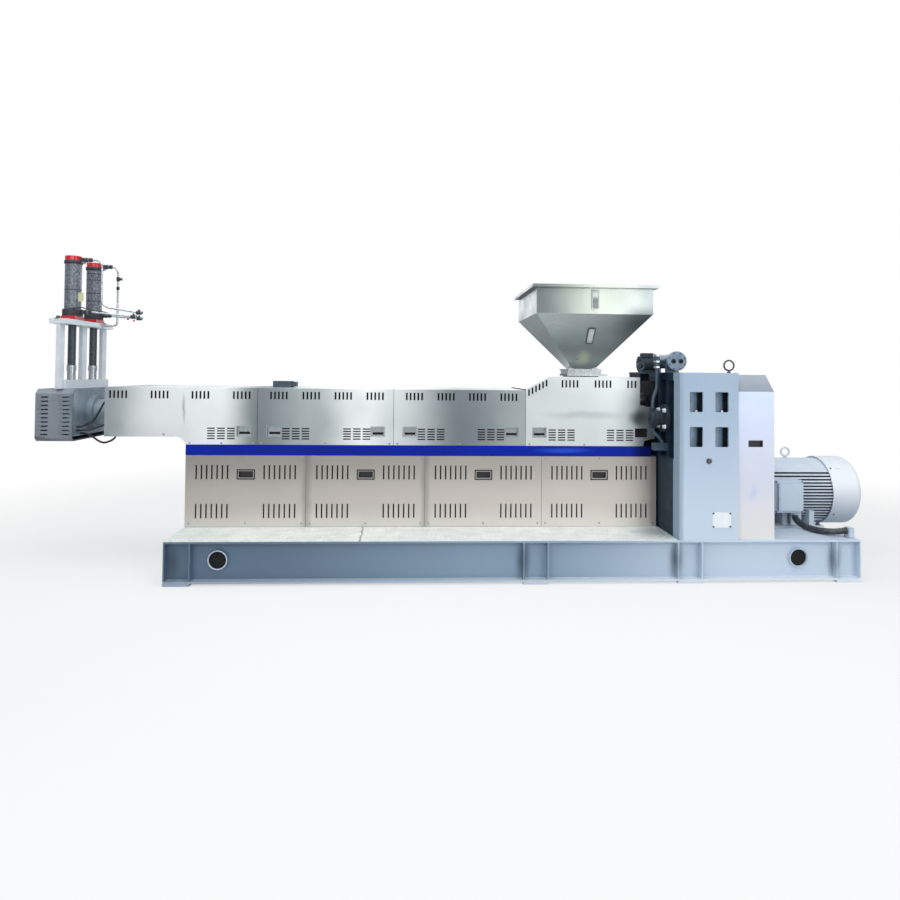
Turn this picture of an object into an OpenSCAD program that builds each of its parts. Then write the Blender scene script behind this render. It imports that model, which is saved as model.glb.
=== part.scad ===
// Single screw extruder on a steel base, with a two column screen changer at its nose.
// Origin at the middle of the base on the floor, +Z up, +X towards the drive motor, front at -Y.

/* [Base] */
// Width of the base over its two long beams
base_w = 1700; // [1600:20:1900]
// Height of the long beams
beam_h = 300; // [260:10:360]
// Width of a beam flange
flange_w = 130; // [110:5:150]
// Thickness of a beam flange
flange_t = 14; // [10:1:20]
// Thickness of a beam web and its stiffeners
web_t = 10; // [8:1:14]
// Thickness of a foot plate
foot_t = 16; // [10:1:30]
// Length of a foot plate along the beam
foot_len = 190; // [160:5:240]
// Width of a foot plate
foot_w = 210; // [195:5:260]
// How far a foot plate stands out past the beam
foot_out = 6; // [2:1:12]
// Middle foot past the start of the feed cover
foot_mid_set = 12; // [0:4:100]
// Diameter of an anchor bolt hole
anchor_hole_d = 26; // [18:1:32]
// Diameter of a lifting hole in the web
lift_hole_d = 126; // [80:2:140]
// Lifting hole from the nose end of the base
lift_inset_nose = 374; // [300:2:460]
// Lifting hole from the drive end of the base
lift_inset_drive = 462; // [400:2:520]
// Wall of the sleeve round a lifting hole
sleeve_wall = 7; // [4:1:12]

/* [Cabinet] */
// Depth of the cabinet, front to back
cab_d = 814; // [760:2:900]
// Height of the lower panels
panel_h = 569; // [520:1:640]
// Thickness of the sheet covers and panels
sheet = 3; // [2:0.5:5]
// Side of the square tube of the cabinet frame
tube = 60; // [40:5:80]
// Height of the blue band
band_h = 82; // [60:2:100]
// Thickness of the blue band
band_t = 50; // [40:2:60]
// Thickness of the walkway plate
deck_t = 6; // [4:1:10]
// Open joint between neighbouring sheets
seam = 3; // [2:1:6]

/* [Covers] */
// Height of the barrel covers above the blue band
cover_h = 445; // [420:5:500]
// Length of the nose cover past the base
nose_len = 625; // [560:5:700]
// Underside of the nose cover above the blue band
nose_lift = 59; // [40:1:70]
// Radius of the nose cover's corner
nose_r = 80; // [70:1:90]
// Length of the first barrel cover
zone_1_len = 553; // [520:1:620]
// Length of the second barrel cover
zone_2_len = 1069; // [1040:1:1100]
// Length of the third barrel cover
zone_3_len = 1058; // [1040:1:1100]
// Height of the feed cover above the blue band
feed_h = 557; // [530:1:600]
// Length of the sloping front of the feed cover
feed_slope = 186; // [150:2:240]
// Length of the feed cover along its top
feed_top_len = 932; // [900:2:960]
// Length of the feed cover along the blue band
feed_len = 1056; // [1030:2:1080]

/* [Slots] */
// Distance between neighbouring slots of a lower panel
slot_pitch = 40.3; // [36:0.1:44]
// Width of a slot in a lower panel
slot_w = 11; // [8:1:16]
// Height of a slot in a lower panel
slot_h = 112; // [80:2:130]
// Distance between neighbouring slots of a cover
cover_pitch = 30.5; // [26:0.5:36]
// Width of a slot in a cover
cover_slot_w = 14; // [8:1:16]
// Height of a slot in a cover
cover_slot_h = 60; // [40:2:80]
// Length of a vent slot
vent_len = 60; // [50:1:66]
// Height of a vent slot
vent_h = 10; // [6:1:12]
// Distance between vent slots, up and down
vent_rise = 20; // [17:1:22]

/* [Pulls] */
// Width of a recessed pull in a lower panel
pull_w = 112; // [90:2:130]
// Height of a recessed pull in a lower panel
pull_h = 50; // [40:2:60]
// Width of a recessed pull in a cover
cover_pull_w = 104; // [90:2:116]
// Height of a recessed pull in a cover
cover_pull_h = 72; // [50:2:80]
// Depth of a recessed pull
pull_d = 22; // [14:1:30]

/* [Barrel] */
// Height of the screw axis above the floor
axis_z = 1190; // [1150:5:1230]
// Outer diameter of the barrel
barrel_d = 240; // [200:5:260]
// Outer diameter of a heater band
heater_d = 310; // [280:5:340]
// Length of a heater band
heater_len = 330; // [260:10:360]
// Length of the feed housing
feed_block_len = 420; // [360:10:460]
// Width of the feed housing
feed_block_w = 380; // [340:10:440]

/* [Hopper] */
// Middle of the hopper past the start of the feed cover
hopper_set = 543; // [500:2:570]
// Outer side of the hopper's square box
hopper_side = 946; // [800:2:1050]
// Side of the square outlet
outlet_side = 190; // [150:2:240]
// Height of the hopper's rim above the floor
hopper_top = 2262; // [2100:2:2400]
// Height of the upright walls
hopper_wall_h = 231; // [150:1:320]
// Height of the tapering part
hopper_taper_h = 441; // [380:1:500]
// Width of the folded rim
rim_w = 38; // [15:1:45]
// Height of the folded rim
rim_h = 24; // [15:1:35]
// Side of the hopper's flange
hopper_flange_side = 300; // [280:5:340]
// Thickness of the hopper's flange
hopper_flange_t = 60; // [48:1:64]

/* [Screen changer] */
// Length of the changer body along the melt
changer_len = 225; // [200:5:240]
// Width of the changer body
changer_w = 690; // [640:10:700]
// Height of the changer body
changer_h = 377; // [360:1:400]
// Distance from the cabinet to the changer axis
changer_reach = 995; // [970:1:1010]
// Distance between the two columns
column_gap = 360; // [330:2:380]
// Diameter of a screen column
column_d = 62; // [50:1:64]
// Gap round a column in its bore
column_fit = 1; // [0.5:0.1:2]
// How far a column can rise
stroke = 300; // [200:10:310]
// Diameter of the melt outlet
melt_d = 80; // [60:2:100]
// Diameter of the outlet flange
outlet_flange_d = 190; // [170:5:220]
// Diameter of the outlet's bolt circle
outlet_pcd = 140; // [130:2:150]
// Diameter of an outlet bolt hole
outlet_bolt_d = 14; // [10:1:18]

/* [Changer guard] */
// Length of the guard
guard_len = 283; // [270:1:300]
// Width of the guard
guard_w = 810; // [780:2:840]
// Height of the guard's flat front
guard_face_h = 345; // [320:1:360]
// Size of the guard's upper bevel
guard_bevel = 36; // [20:1:50]
// Size of the guard's lower bevel
guard_bevel_low = 26; // [20:1:40]

/* [Hydraulics] */
// Height of the frame's top plate above the floor
plate_z = 1904; // [1880:2:1960]
// Thickness of the frame's top plate
plate_t = 40; // [25:1:50]
// Length of the frame's top plate, front to back
plate_len = 800; // [780:5:900]
// Width of the frame's top plate
plate_w = 140; // [130:2:170]
// Thickness of a frame post
post_t = 30; // [20:1:36]
// Depth of a frame post
post_d = 75; // [60:1:90]
// Height of the frame's lower bars
bar_h = 67; // [50:1:80]
// Outer diameter of a cylinder
cylinder_d = 124; // [110:1:150]
// Length of a cylinder with its cap
cylinder_len = 488; // [440:2:540]
// Diameter of a piston rod
rod_d = 60; // [40:1:62]
// Gap round a piston rod
rod_fit = 2; // [1:0.5:3]
// Thickness of a cylinder's foot flange
foot_flange_t = 31; // [20:1:40]
// Height of a cylinder's cap
cap_h = 37; // [25:1:50]
// Height of a rod coupling
coupling_h = 45; // [35:1:60]
// Diameter of a rod coupling
coupling_d = 70; // [66:1:76]
// Diameter of a hydraulic tube
line_d = 16; // [10:1:18]

/* [Gearbox] */
// Length of the gearbox along the machine
gear_len = 449; // [430:1:470]
// Height of the gearbox above the deck
gear_h = 1250; // [1200:5:1320]
// How much lower the rear part of the gearbox is
gear_drop = 60; // [0:5:90]
// Thickness of the gearbox's face plates
face_t = 16; // [12:1:24]
// Width of a window in a face plate
window_w = 102; // [80:2:120]
// Height of a window in a face plate
window_h = 150; // [120:2:180]
// Radius of a window's corners
window_r = 8; // [2:1:14]
// Distance between the windows, side to side
window_gap_x = 196; // [180:2:210]
// Distance between the windows, up and down
window_gap_z = 261; // [240:1:280]
// Middle of the windows above the deck
window_z = 899; // [860:1:930]
// Depth of the pocket behind a face plate
pocket_d = 64; // [50:2:80]
// Depth of the recesses in the gearbox side
rib_d = 40; // [25:1:50]
// Diameter of the output flange
output_d = 400; // [360:5:440]

/* [Coupling guard] */
// Length of the coupling guard
coupling_len = 296; // [260:2:310]
// Width of the coupling guard
coupling_w = 1624; // [1580:4:1660]
// Height of the coupling guard above the deck
coupling_guard_h = 1237; // [1180:1:1245]
// Bevel along the guard's upper edges
coupling_bevel = 130; // [90:2:160]

/* [Motor] */
// Height of the motor axis above its feet
motor_shaft_h = 280; // [250:5:315]
// Motor feet above the floor
motor_foot_z = 275; // [266:1:300]
// Outer radius of the motor's finned frame
motor_r = 272; // [245:1:280]
// Outer radius of the fan cowl
cowl_r = 289; // [284:1:295]
// Length of the fan cowl
cowl_len = 258; // [220:2:300]
// End of the fan cowl past the drive end of the base
cowl_over = 405; // [340:5:440]
// Distance from the coupling guard to the motor
motor_gap = 97; // [80:1:140]
// Length of the motor's finned frame
motor_len = 716; // [690:2:730]
// Distance between cooling fins
fin_pitch = 26; // [24:1:28]
// Gap between two cooling fins
fin_gap = 15; // [8:1:18]
// Depth of a cooling fin
fin_d = 40; // [20:1:48]
// Width of the terminal box
box_w = 240; // [200:5:260]
// Height of the terminal box
box_h = 263; // [220:1:280]
// Depth of the terminal box
box_d = 118; // [90:2:130]

/* [Lubrication] */
// Diameter of the oil cooler
cooler_d = 116; // [90:2:130]
// Diameter of the oil cooler's end caps
cooler_cap_d = 156; // [136:2:166]
// Length of the oil cooler
cooler_len = 620; // [500:10:700]
// Diameter of an oil pipe
oil_pipe_d = 26; // [18:1:34]
// Diameter of the oil pump's seat on the gearbox
pump_seat_d = 218; // [180:2:240]
// Diameter of the oil pump
pump_d = 112; // [90:2:130]

/* [Hidden] */
$fn = 64;

// Levels, from the floor up
deck_z = foot_t + beam_h;
band_z = deck_z + panel_h;
cover_z = band_z + band_h;
cover_top = cover_z + cover_h;
feed_top = cover_z + feed_h;
gear_top = deck_z + gear_h;
motor_axis_z = motor_foot_z + motor_shaft_h;

// Places along the machine, where the base is as long as what stands on it
gear_clear = 17;
cab_end_gap = 12;
cowl_lap = 16;
cab_len = zone_1_len + zone_2_len + zone_3_len + feed_len + cab_end_gap;
drive_len = motor_gap + motor_len - cowl_lap + cowl_len - cowl_over;
base_len = cab_len + gear_clear + gear_len + coupling_len + drive_len;
base_x0 = -base_len / 2;
base_x1 = base_len / 2;
cab_x0 = base_x0;
cab_x1 = cab_x0 + cab_len;
gear_x0 = cab_x1 + gear_clear;
gear_x1 = gear_x0 + gear_len;
guard_x1 = gear_x1 + coupling_len;
zone_1_x = cab_x0;
zone_2_x = zone_1_x + zone_1_len;
zone_3_x = zone_2_x + zone_2_len;
feed_x = zone_3_x + zone_3_len;
hopper_x = feed_x + hopper_set;
foot_mid_x = feed_x + foot_mid_set;
nose_x = cab_x0 - nose_len;
changer_x = cab_x0 - changer_reach;
feed_block_low = axis_z - 190;
changer_x1 = changer_x + changer_len / 2 - 10;
changer_x0 = changer_x1 - changer_len;
cowl_x1 = base_x1 + cowl_over;
cowl_x0 = cowl_x1 - cowl_len;
motor_x1 = cowl_x0 + cowl_lap;
motor_x0 = motor_x1 - motor_len;

// Places across the machine
beam_y = base_w / 2;
cab_y = cab_d / 2;
column_y = column_gap / 2;

// Foot plates stand under the beam's stiffener pairs
feet_x = [base_x0 + foot_len / 2, foot_mid_x, gear_x0 + foot_len / 2 - 10, base_x1 - foot_len / 2];
foot_y0 = beam_y + foot_out - foot_w;
anchor_y = foot_y0 + 36;

// Lifting holes, and how far their sleeves stand back from the flanges' edge
lift_holes_x = [base_x0 + lift_inset_nose, base_x1 - lift_inset_drive];
lift_z = foot_t + beam_h * 0.53;
sleeve_set = 40;

// Lower panels
panel_n = 4;
panel_w = cab_len / panel_n;
panel_low_gap = 8;
slots_n = 7;
slot_run = slot_pitch * (slots_n - 1);
slot_margin = 85;
slot_low = 75;
slot_high = 379;
pull_z = 393;

// Barrel covers
group_n = 5;
slot_drop = 87;
vent_z = 42;
vent_cols = 3;
vent_rows = 5;
vent_step = 77;
cover_pull_z = 70;
zone_1_groups = [39, 359];
zone_groups = [95, 348, 600, 852];
feed_groups = [290, 560];
feed_last_group = 827;
feed_last_n = 3;
nose_groups = [33, 350];
zone_1_vents = [163];
zone_vents = [191, 671];
feed_vents = [185, 662];
zone_1_pulls = [394];
zone_pulls = [77, 891];
feed_pulls = [59, 892];
feed_step_z = 305;

// Changer and its frame
changer_top = band_z + 509;
changer_low = changer_top - changer_h;
guard_x0 = changer_x0 - 34;
guard_face_z = changer_top - guard_bevel - 2 - guard_face_h;
bar_t = 10;
bar_gap = column_d / 2 + 5;
frame_z = changer_top;
cylinder_z = plate_z + plate_t;
rod_tip_z = cylinder_z + foot_flange_t + 20;
coupling_z = plate_z - stroke - coupling_h - 25;
column_low = changer_low + 40;
bore_low = changer_low + 25;
outlet_boss = 50;
outlet_bolts = 8;

// Smallest step that keeps two cut faces apart
eps = 1;

// A sheet standing in the XZ plane, its outer face at y
module uprightSheet(y, t) {
  translate([0, y + t, 0]) rotate([90, 0, 0]) linear_extrude(t) children();
}

// Same pieces on the front and the rear of the machine
module onRear() {
  mirror([0, 1, 0]) children();
}

function unit(v) = v / norm(v);

// Corners of a route rounded with a short curve of n steps
function roundedRoute(p, r, n = 4) = [
  for (i = [0 : len(p) - 1])
    if (i == 0 || i == len(p) - 1) p[i]
    else
      let (a = p[i] + unit(p[i - 1] - p[i]) * min(r, norm(p[i - 1] - p[i]) / 2.1))
      let (b = p[i] + unit(p[i + 1] - p[i]) * min(r, norm(p[i + 1] - p[i]) / 2.1))
      for (k = [0 : n])
        let (t = k / n)
        a * (1 - t) * (1 - t) + p[i] * 2 * t * (1 - t) + b * t * t
];

// Direction of travel at point i of a route
function heading(p, i) =
  i == 0 ? unit(p[1] - p[0])
  : i == len(p) - 1 ? unit(p[i] - p[i - 1])
  : unit(unit(p[i + 1] - p[i]) + unit(p[i] - p[i - 1]));

// Tube along a route; side is a direction that the route never takes
module pipeRun(p, d, side = [0, 1, 0], sides = 10) {
  n = len(p);
  ring = [
    for (i = [0 : n - 1])
      let (t = heading(p, i), u = unit(cross(side, t)), v = cross(t, u))
      for (k = [0 : sides - 1])
        p[i] + (u * cos(360 * k / sides) + v * sin(360 * k / sides)) * d / 2
  ];
  walls = [
    for (i = [0 : n - 2], k = [0 : sides - 1])
      let (k2 = (k + 1) % sides)
      [i * sides + k, (i + 1) * sides + k, (i + 1) * sides + k2, i * sides + k2]
  ];
  ends = [
    [for (k = [0 : sides - 1]) k],
    [for (k = [sides - 1 : -1 : 0]) (n - 1) * sides + k]
  ];
  polyhedron(ring, concat(walls, ends), convexity = 6);
}

// Ring and shank of a lifting eye, standing at the origin along X
module liftingEye(ring_r, bar_r) {
  translate([0, 0, ring_r + bar_r + 12])
    rotate([90, 0, 0]) rotate_extrude() translate([ring_r, 0]) circle(r = bar_r, $fn = 24);
  cylinder(r = bar_r * 2, h = 10);
  cylinder(r = bar_r * 0.95, h = 16);
}

// Long beam of the base, at the front
module longBeam() {
  y0 = -beam_y;
  web_y = y0 + flange_w / 2 - web_t / 2;
  difference() {
    union() {
      translate([base_x0, y0, foot_t]) cube([base_len, flange_w, flange_t]);
      translate([base_x0, y0, deck_z - flange_t]) cube([base_len, flange_w, flange_t]);
      translate([base_x0, web_y, foot_t]) cube([base_len, web_t, beam_h]);
      for (x = feet_x, s = [-1, 1])
        translate([x + s * (foot_len / 2 - web_t / 2) - web_t / 2, y0, foot_t])
          cube([web_t, flange_w, beam_h]);
      for (x = lift_holes_x)
        translate([x, y0 + sleeve_set, lift_z]) rotate([-90, 0, 0])
          cylinder(d = lift_hole_d + 2 * sleeve_wall, h = flange_w - sleeve_set - flange_t);
    }
    for (x = lift_holes_x)
      translate([x, y0 - eps, lift_z]) rotate([-90, 0, 0])
        cylinder(d = lift_hole_d, h = flange_w + 2 * eps);
  }
}

module base_front_beam() {
  color("#9fb2c6") longBeam();
}

module base_rear_beam() {
  color("#9fb2c6") onRear() longBeam();
}

module base_cross_members() {
  inner = base_w - 2 * flange_w;
  cross_w = 100;
  cross_h = beam_h - 40;
  color("#8fa3b7")
    for (x = [base_x0 + cross_w / 2, base_x0 + base_len * 0.25, foot_mid_x, gear_x0 + 20, gear_x1 - 20])
      translate([x - cross_w / 2, -inner / 2, deck_z - cross_h]) cube([cross_w, inner, cross_h]);
}

module foot_plates() {
  color("#9fb2c6")
    for (x = feet_x, s = [0, 1])
      mirror([0, s, 0]) difference() {
        translate([x - foot_len / 2, -foot_y0 - foot_w, 0]) cube([foot_len, foot_w, foot_t]);
        translate([x, -anchor_y, -eps]) cylinder(d = anchor_hole_d, h = foot_t + 2 * eps);
      }
}

module walkwayPlate() {
  translate([base_x0, -beam_y, deck_z])
    cube([cab_len, beam_y - cab_y, deck_t]);
}

module walkway_front() {
  color("#c3c8c9") walkwayPlate();
}

module walkway_rear() {
  color("#c3c8c9") onRear() walkwayPlate();
}

// Painted deck strips beside the motor bed
module drive_deck() {
  strip_w = 250;
  color("#b3c2d0")
    for (s = [0, 1]) mirror([0, s, 0])
      translate([guard_x1 + seam, -beam_y + flange_w, deck_z - deck_t])
        cube([base_x1 - guard_x1 - seam, strip_w, deck_t]);
}

// Recessed table that carries the motor feet, with its end beam
module motor_bed() {
  bed_w = 700;
  bed_t = 25;
  rail_w = 90;
  end_t = 22;
  end_drop = 6;
  x0 = gear_x1 + 40;
  z0 = foot_t + 40;
  inner = base_w - 2 * flange_w;
  color("#9fb2c6") {
    translate([x0, -bed_w / 2, motor_foot_z - bed_t]) cube([base_x1 - x0 - end_t + eps, bed_w, bed_t]);
    for (s = [0, 1]) mirror([0, s, 0])
      translate([x0, -bed_w / 2, z0]) cube([base_x1 - x0 - end_t + eps, rail_w, motor_foot_z - bed_t - z0]);
    translate([base_x1 - end_t, -inner / 2, z0]) cube([end_t, inner, motor_foot_z - end_drop - z0]);
  }
}

module cabinet_frame() {
  y1 = cab_y - sheet;
  color("#70808c")
    for (i = [0 : panel_n]) {
      x = cab_x0 + sheet + (cab_len - 2 * sheet - tube) * i / panel_n;
      for (s = [-1, 1]) {
        translate([x, s > 0 ? y1 - tube : -y1, deck_z]) cube([tube, tube, panel_h]);
        if (i < panel_n)
          for (z = [deck_z, band_z - tube])
            translate([x, s > 0 ? y1 - tube : -y1, z])
              cube([(cab_len - 2 * sheet - tube) / panel_n + tube, tube, tube]);
      }
      translate([x, -y1, band_z - tube]) cube([tube, 2 * y1, tube]);
    }
}

// One lower panel, drawn from its lower left corner
module lowerPanel() {
  difference() {
    translate([seam / 2, panel_low_gap]) square([panel_w - seam, panel_h - panel_low_gap - seam]);
    for (x = [slot_margin, panel_w - slot_margin - slot_run], i = [0 : slots_n - 1], z = [slot_low, slot_high])
      translate([x + i * slot_pitch - slot_w / 2, z]) square([slot_w, slot_h]);
    translate([panel_w / 2 - pull_w / 2, pull_z]) square([pull_w, pull_h]);
  }
}

module lowerPanelRow() {
  uprightSheet(-cab_y, sheet)
    for (i = [0 : panel_n - 1]) translate([cab_x0 + i * panel_w, deck_z]) lowerPanel();
}

module front_lower_panels() {
  color("#b9b2a8") lowerPanelRow();
}

module rear_lower_panels() {
  color("#b9b2a8") onRear() lowerPanelRow();
}

module cabinet_end_panels() {
  y1 = cab_y - sheet - seam;
  color("#b9b2a8")
    for (x = [cab_x0, cab_x1 - sheet])
      translate([x, -y1, deck_z + panel_low_gap]) cube([sheet, 2 * y1, panel_h - panel_low_gap - seam]);
}

// Shallow tray behind a pull opening; its mouth is the size of the opening
module pullTray(x, z, w, h) {
  wall = 2;
  difference() {
    translate([x - wall, -cab_y + sheet, z - wall]) cube([w + 2 * wall, pull_d, h + 2 * wall]);
    translate([x, -cab_y + sheet - eps, z]) cube([w, pull_d - wall + eps, h]);
  }
}

module lower_panel_pulls() {
  color("#1c1d20")
    for (s = [0, 1], i = [0 : panel_n - 1]) mirror([0, s, 0])
      pullTray(cab_x0 + (i + 0.5) * panel_w - pull_w / 2, deck_z + pull_z, pull_w, pull_h);
}

module blue_band() {
  band_len = cab_len - 45;
  color("#0a2aa0")
    difference() {
      translate([cab_x0, -cab_y, band_z]) cube([band_len, cab_d, band_h]);
      translate([cab_x0 + band_t, -cab_y + band_t, band_z - eps])
        cube([band_len - 2 * band_t, cab_d - 2 * band_t, band_h + 2 * eps]);
    }
}

module barrel() {
  x0 = nose_x + 60;
  color("#8b8f94")
    translate([x0, 0, axis_z]) rotate([0, 90, 0]) cylinder(d = barrel_d, h = feedBlockX0() - x0);
}

function feedBlockX0() = hopper_x - feed_block_len / 2;

function stationX(i) = cab_x0 + sheet + (cab_len - 2 * sheet - tube) * i / panel_n;

// Heater bands lie between the saddles, two to a span, and one in the nose
saddle_t = 30;
saddles_x = [cab_x0 + band_t, stationX(1), stationX(2)];
heater_x = [
  nose_x + 130,
  for (i = [0 : 2], k = [0, 1])
    let (a = saddles_x[i] + saddle_t, b = i < 2 ? saddles_x[i + 1] : feedBlockX0())
    a + (b - a) * (0.25 + k * 0.5) - heater_len / 2
];

module heater_bands() {
  color("#b8babd")
    for (x = heater_x)
      translate([x, 0, axis_z]) rotate([0, 90, 0]) difference() {
        cylinder(d = heater_d, h = heater_len);
        translate([0, 0, -eps]) cylinder(d = barrel_d, h = heater_len + 2 * eps);
      }
}

// Saddles that stand on the cross rails and hold the barrel and the feed housing
module barrel_supports() {
  saddle_w = 300;
  color("#70808c") {
    for (x = saddles_x) difference() {
      translate([x, -saddle_w / 2, band_z]) cube([saddle_t, saddle_w, axis_z - band_z]);
      translate([x - eps, 0, axis_z]) rotate([0, 90, 0]) cylinder(d = barrel_d, h = saddle_t + 2 * eps);
    }
    translate([stationX(3), -saddle_w / 2, band_z])
      cube([hopper_x + feed_block_len / 2 - stationX(3), saddle_w, feed_block_low - band_z]);
  }
}

// Slots of a cover, each group starting at one of the distances given
module slotGroups(starts, top, n = group_n) {
  for (g = starts, i = [0 : n - 1])
    translate([g + i * cover_pitch, top - slot_drop]) square([cover_slot_w, cover_slot_h]);
}

module ventBlocks(starts) {
  for (g = starts, c = [0 : vent_cols - 1], r = [0 : vent_rows - 1])
    translate([g + c * vent_step, vent_z + r * vent_rise]) square([vent_len, vent_h]);
}

module pullOpenings(starts) {
  for (g = starts) translate([g, cover_pull_z]) square([cover_pull_w, cover_pull_h]);
}

// Front or rear sheet of a barrel cover, drawn from its lower left corner
module zoneSheet(zone_len, groups, vents, pulls) {
  difference() {
    translate([0, 0]) square([zone_len - seam, cover_h]);
    slotGroups(groups, cover_h);
    ventBlocks(vents);
    pullOpenings(pulls);
  }
}

module zoneCover(x, zone_len, groups, vents, pulls) {
  for (s = [0, 1]) mirror([0, s, 0])
    uprightSheet(-cab_y, sheet) translate([x, cover_z]) zoneSheet(zone_len, groups, vents, pulls);
  translate([x, -cab_y, cover_top - sheet]) cube([zone_len - seam, cab_d, sheet]);
}

module zone_1_cover() {
  color("#c9cfcf") zoneCover(zone_1_x, zone_1_len, zone_1_groups, zone_1_vents, zone_1_pulls);
}

module zone_2_cover() {
  color("#c9cfcf") zoneCover(zone_2_x, zone_2_len, zone_groups, zone_vents, zone_pulls);
}

module zone_3_cover() {
  color("#c9cfcf") zoneCover(zone_3_x, zone_3_len, zone_groups, zone_vents, zone_pulls);
}

// Side of the nose cover: flat underside that turns down into the cabinet's corner
module noseSide() {
  difference() {
    square([nose_len, cover_h]);
    translate([-eps, -eps]) square([nose_len - nose_r + eps, nose_lift + eps]);
    translate([nose_len - nose_r, nose_lift - nose_r]) circle(r = nose_r);
    slotGroups(nose_groups, cover_h);
  }
}

module nose_cover() {
  color("#c9cfcf") {
    for (s = [0, 1]) mirror([0, s, 0])
      uprightSheet(-cab_y, sheet) translate([nose_x, cover_z]) noseSide();
    translate([nose_x, -cab_y, cover_top - sheet]) cube([nose_len, cab_d, sheet]);
    translate([nose_x, -cab_y, cover_z + nose_lift]) cube([nose_len - nose_r, cab_d, sheet]);
    difference() {
      translate([nose_x, -cab_y, cover_z + nose_lift]) cube([sheet, cab_d, cover_h - nose_lift]);
      translate([nose_x - eps, 0, axis_z]) rotate([0, 90, 0]) cylinder(d = adapterD() + 0.6, h = sheet + 2 * eps);
    }
  }
}

function adapterD() = barrel_d - 20;

// Outline of the feed cover's side, from its lower left corner
feed_notch = [97, 63];
feed_notch_bend = [87, 43];
feed_back_rise = 28;
slope_z = cover_h + 10;
feed_outline = [
  [0, 0], [feed_len - feed_notch[0], 0], [feed_len - feed_notch_bend[0], feed_notch_bend[1]],
  [feed_len, feed_notch[1]], [feed_len, feed_step_z], [feed_top_len, feed_step_z + feed_back_rise],
  [feed_top_len, feed_h], [feed_slope, feed_h], [0, slope_z]
];

module feedSide() {
  slope_slots = 6;
  slope_start = 18;
  slope_pitch = cover_pitch * 0.93;
  rise = (feed_h - slope_z) / feed_slope;
  difference() {
    polygon(feed_outline);
    slotGroups(feed_groups, feed_h);
    slotGroups([feed_last_group], feed_h, feed_last_n);
    for (i = [0 : slope_slots - 1])
      translate([slope_start + i * slope_pitch, slope_z - 65 + rise * (slope_start + i * slope_pitch)])
        square([cover_slot_w, cover_slot_h - 8]);
    ventBlocks(feed_vents);
    pullOpenings(feed_pulls);
  }
}

module feed_cover() {
  mouth = 2 * mouthHalf() + 12;
  color("#cfd6cf") {
    for (s = [0, 1]) mirror([0, s, 0])
      uprightSheet(-cab_y, sheet) translate([feed_x, cover_z]) feedSide();
    difference() {
      translate([feed_x + feed_slope, -cab_y, feed_top - sheet]) cube([feed_top_len - feed_slope, cab_d, sheet]);
      translate([hopper_x - mouth / 2, -mouth / 2, feed_top - sheet - eps]) cube([mouth, mouth, sheet + 2 * eps]);
    }
    uprightSheet(-cab_y, cab_d) translate([feed_x, cover_z])
      polygon([[0, slope_z], [feed_slope, feed_h], [feed_slope, feed_h - sheet], [0, slope_z - sheet]]);
    difference() {
      translate([feed_x + feed_top_len - sheet, -cab_y, cover_z + feed_step_z + feed_back_rise - sheet])
        cube([sheet, cab_d, feed_h - feed_step_z - feed_back_rise + sheet]);
      translate([feed_x + feed_top_len - sheet - eps, 0, axis_z]) rotate([0, 90, 0])
        cylinder(d = barrel_d + 20, h = sheet + 2 * eps);
    }
  }
}

module cover_pulls() {
  color("#a9adad")
    for (s = [0, 1]) mirror([0, s, 0]) {
      for (g = zone_1_pulls) pullTray(zone_1_x + g, cover_z + cover_pull_z, cover_pull_w, cover_pull_h);
      for (g = zone_pulls, x = [zone_2_x, zone_3_x])
        pullTray(x + g, cover_z + cover_pull_z, cover_pull_w, cover_pull_h);
      for (g = feed_pulls) pullTray(feed_x + g, cover_z + cover_pull_z, cover_pull_w, cover_pull_h);
    }
}

// Feed throat: a block with the square inlet that the hopper stands on
module feed_housing() {
  x0 = feedBlockX0();
  z1 = hopperFlangeZ();
  throat = outlet_side - 10;
  neck_z = feed_top - 30;
  color("#a7b4be") {
    difference() {
      translate([x0, -feed_block_w / 2, feed_block_low]) cube([feed_block_len, feed_block_w, z1 - feed_block_low]);
      translate([hopper_x - throat / 2, -throat / 2, axis_z]) cube([throat, throat, z1 - axis_z + eps]);
      for (s = [-1, 1]) {
        translate([x0 - eps, s * (mouthHalf() + feed_block_w / 2) - feed_block_w / 2, neck_z])
          cube([feed_block_len + 2 * eps, feed_block_w, z1 - neck_z + eps]);
        translate([hopper_x + s * (mouthHalf() + feed_block_len / 2) - feed_block_len / 2, -feed_block_w, neck_z])
          cube([feed_block_len, 2 * feed_block_w, z1 - neck_z + eps]);
      }
    }
    translate([x0 + feed_block_len - eps, 0, axis_z]) rotate([0, 90, 0])
      cylinder(d = barrel_d, h = outputX0() - x0 - feed_block_len + eps);
  }
}

function mouthHalf() = hopper_flange_side / 2 - 26;
function outputX0() = gear_x0 - 70;
function hopperFlangeZ() = hopper_top - hopper_wall_h - hopper_taper_h - hopper_flange_t;

module hopper_flange() {
  z = hopperFlangeZ();
  gate_out = 45;
  gate_t = 18;
  rim_t = 14;
  set_in = 8;
  half = hopper_flange_side / 2;
  color("#c4c7c7") difference() {
    union() {
      translate([hopper_x - half, -half, z]) cube([2 * half + gate_out, 2 * half, gate_t]);
      translate([hopper_x - half + set_in, -half + set_in, z])
        cube([2 * (half - set_in), 2 * (half - set_in), hopper_flange_t]);
      translate([hopper_x - half, -half, z + hopper_flange_t - rim_t]) cube([2 * half, 2 * half, rim_t]);
    }
    translate([hopper_x - outlet_side / 2, -outlet_side / 2, z - eps])
      cube([outlet_side, outlet_side, hopper_flange_t + 2 * eps]);
  }
}

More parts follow.
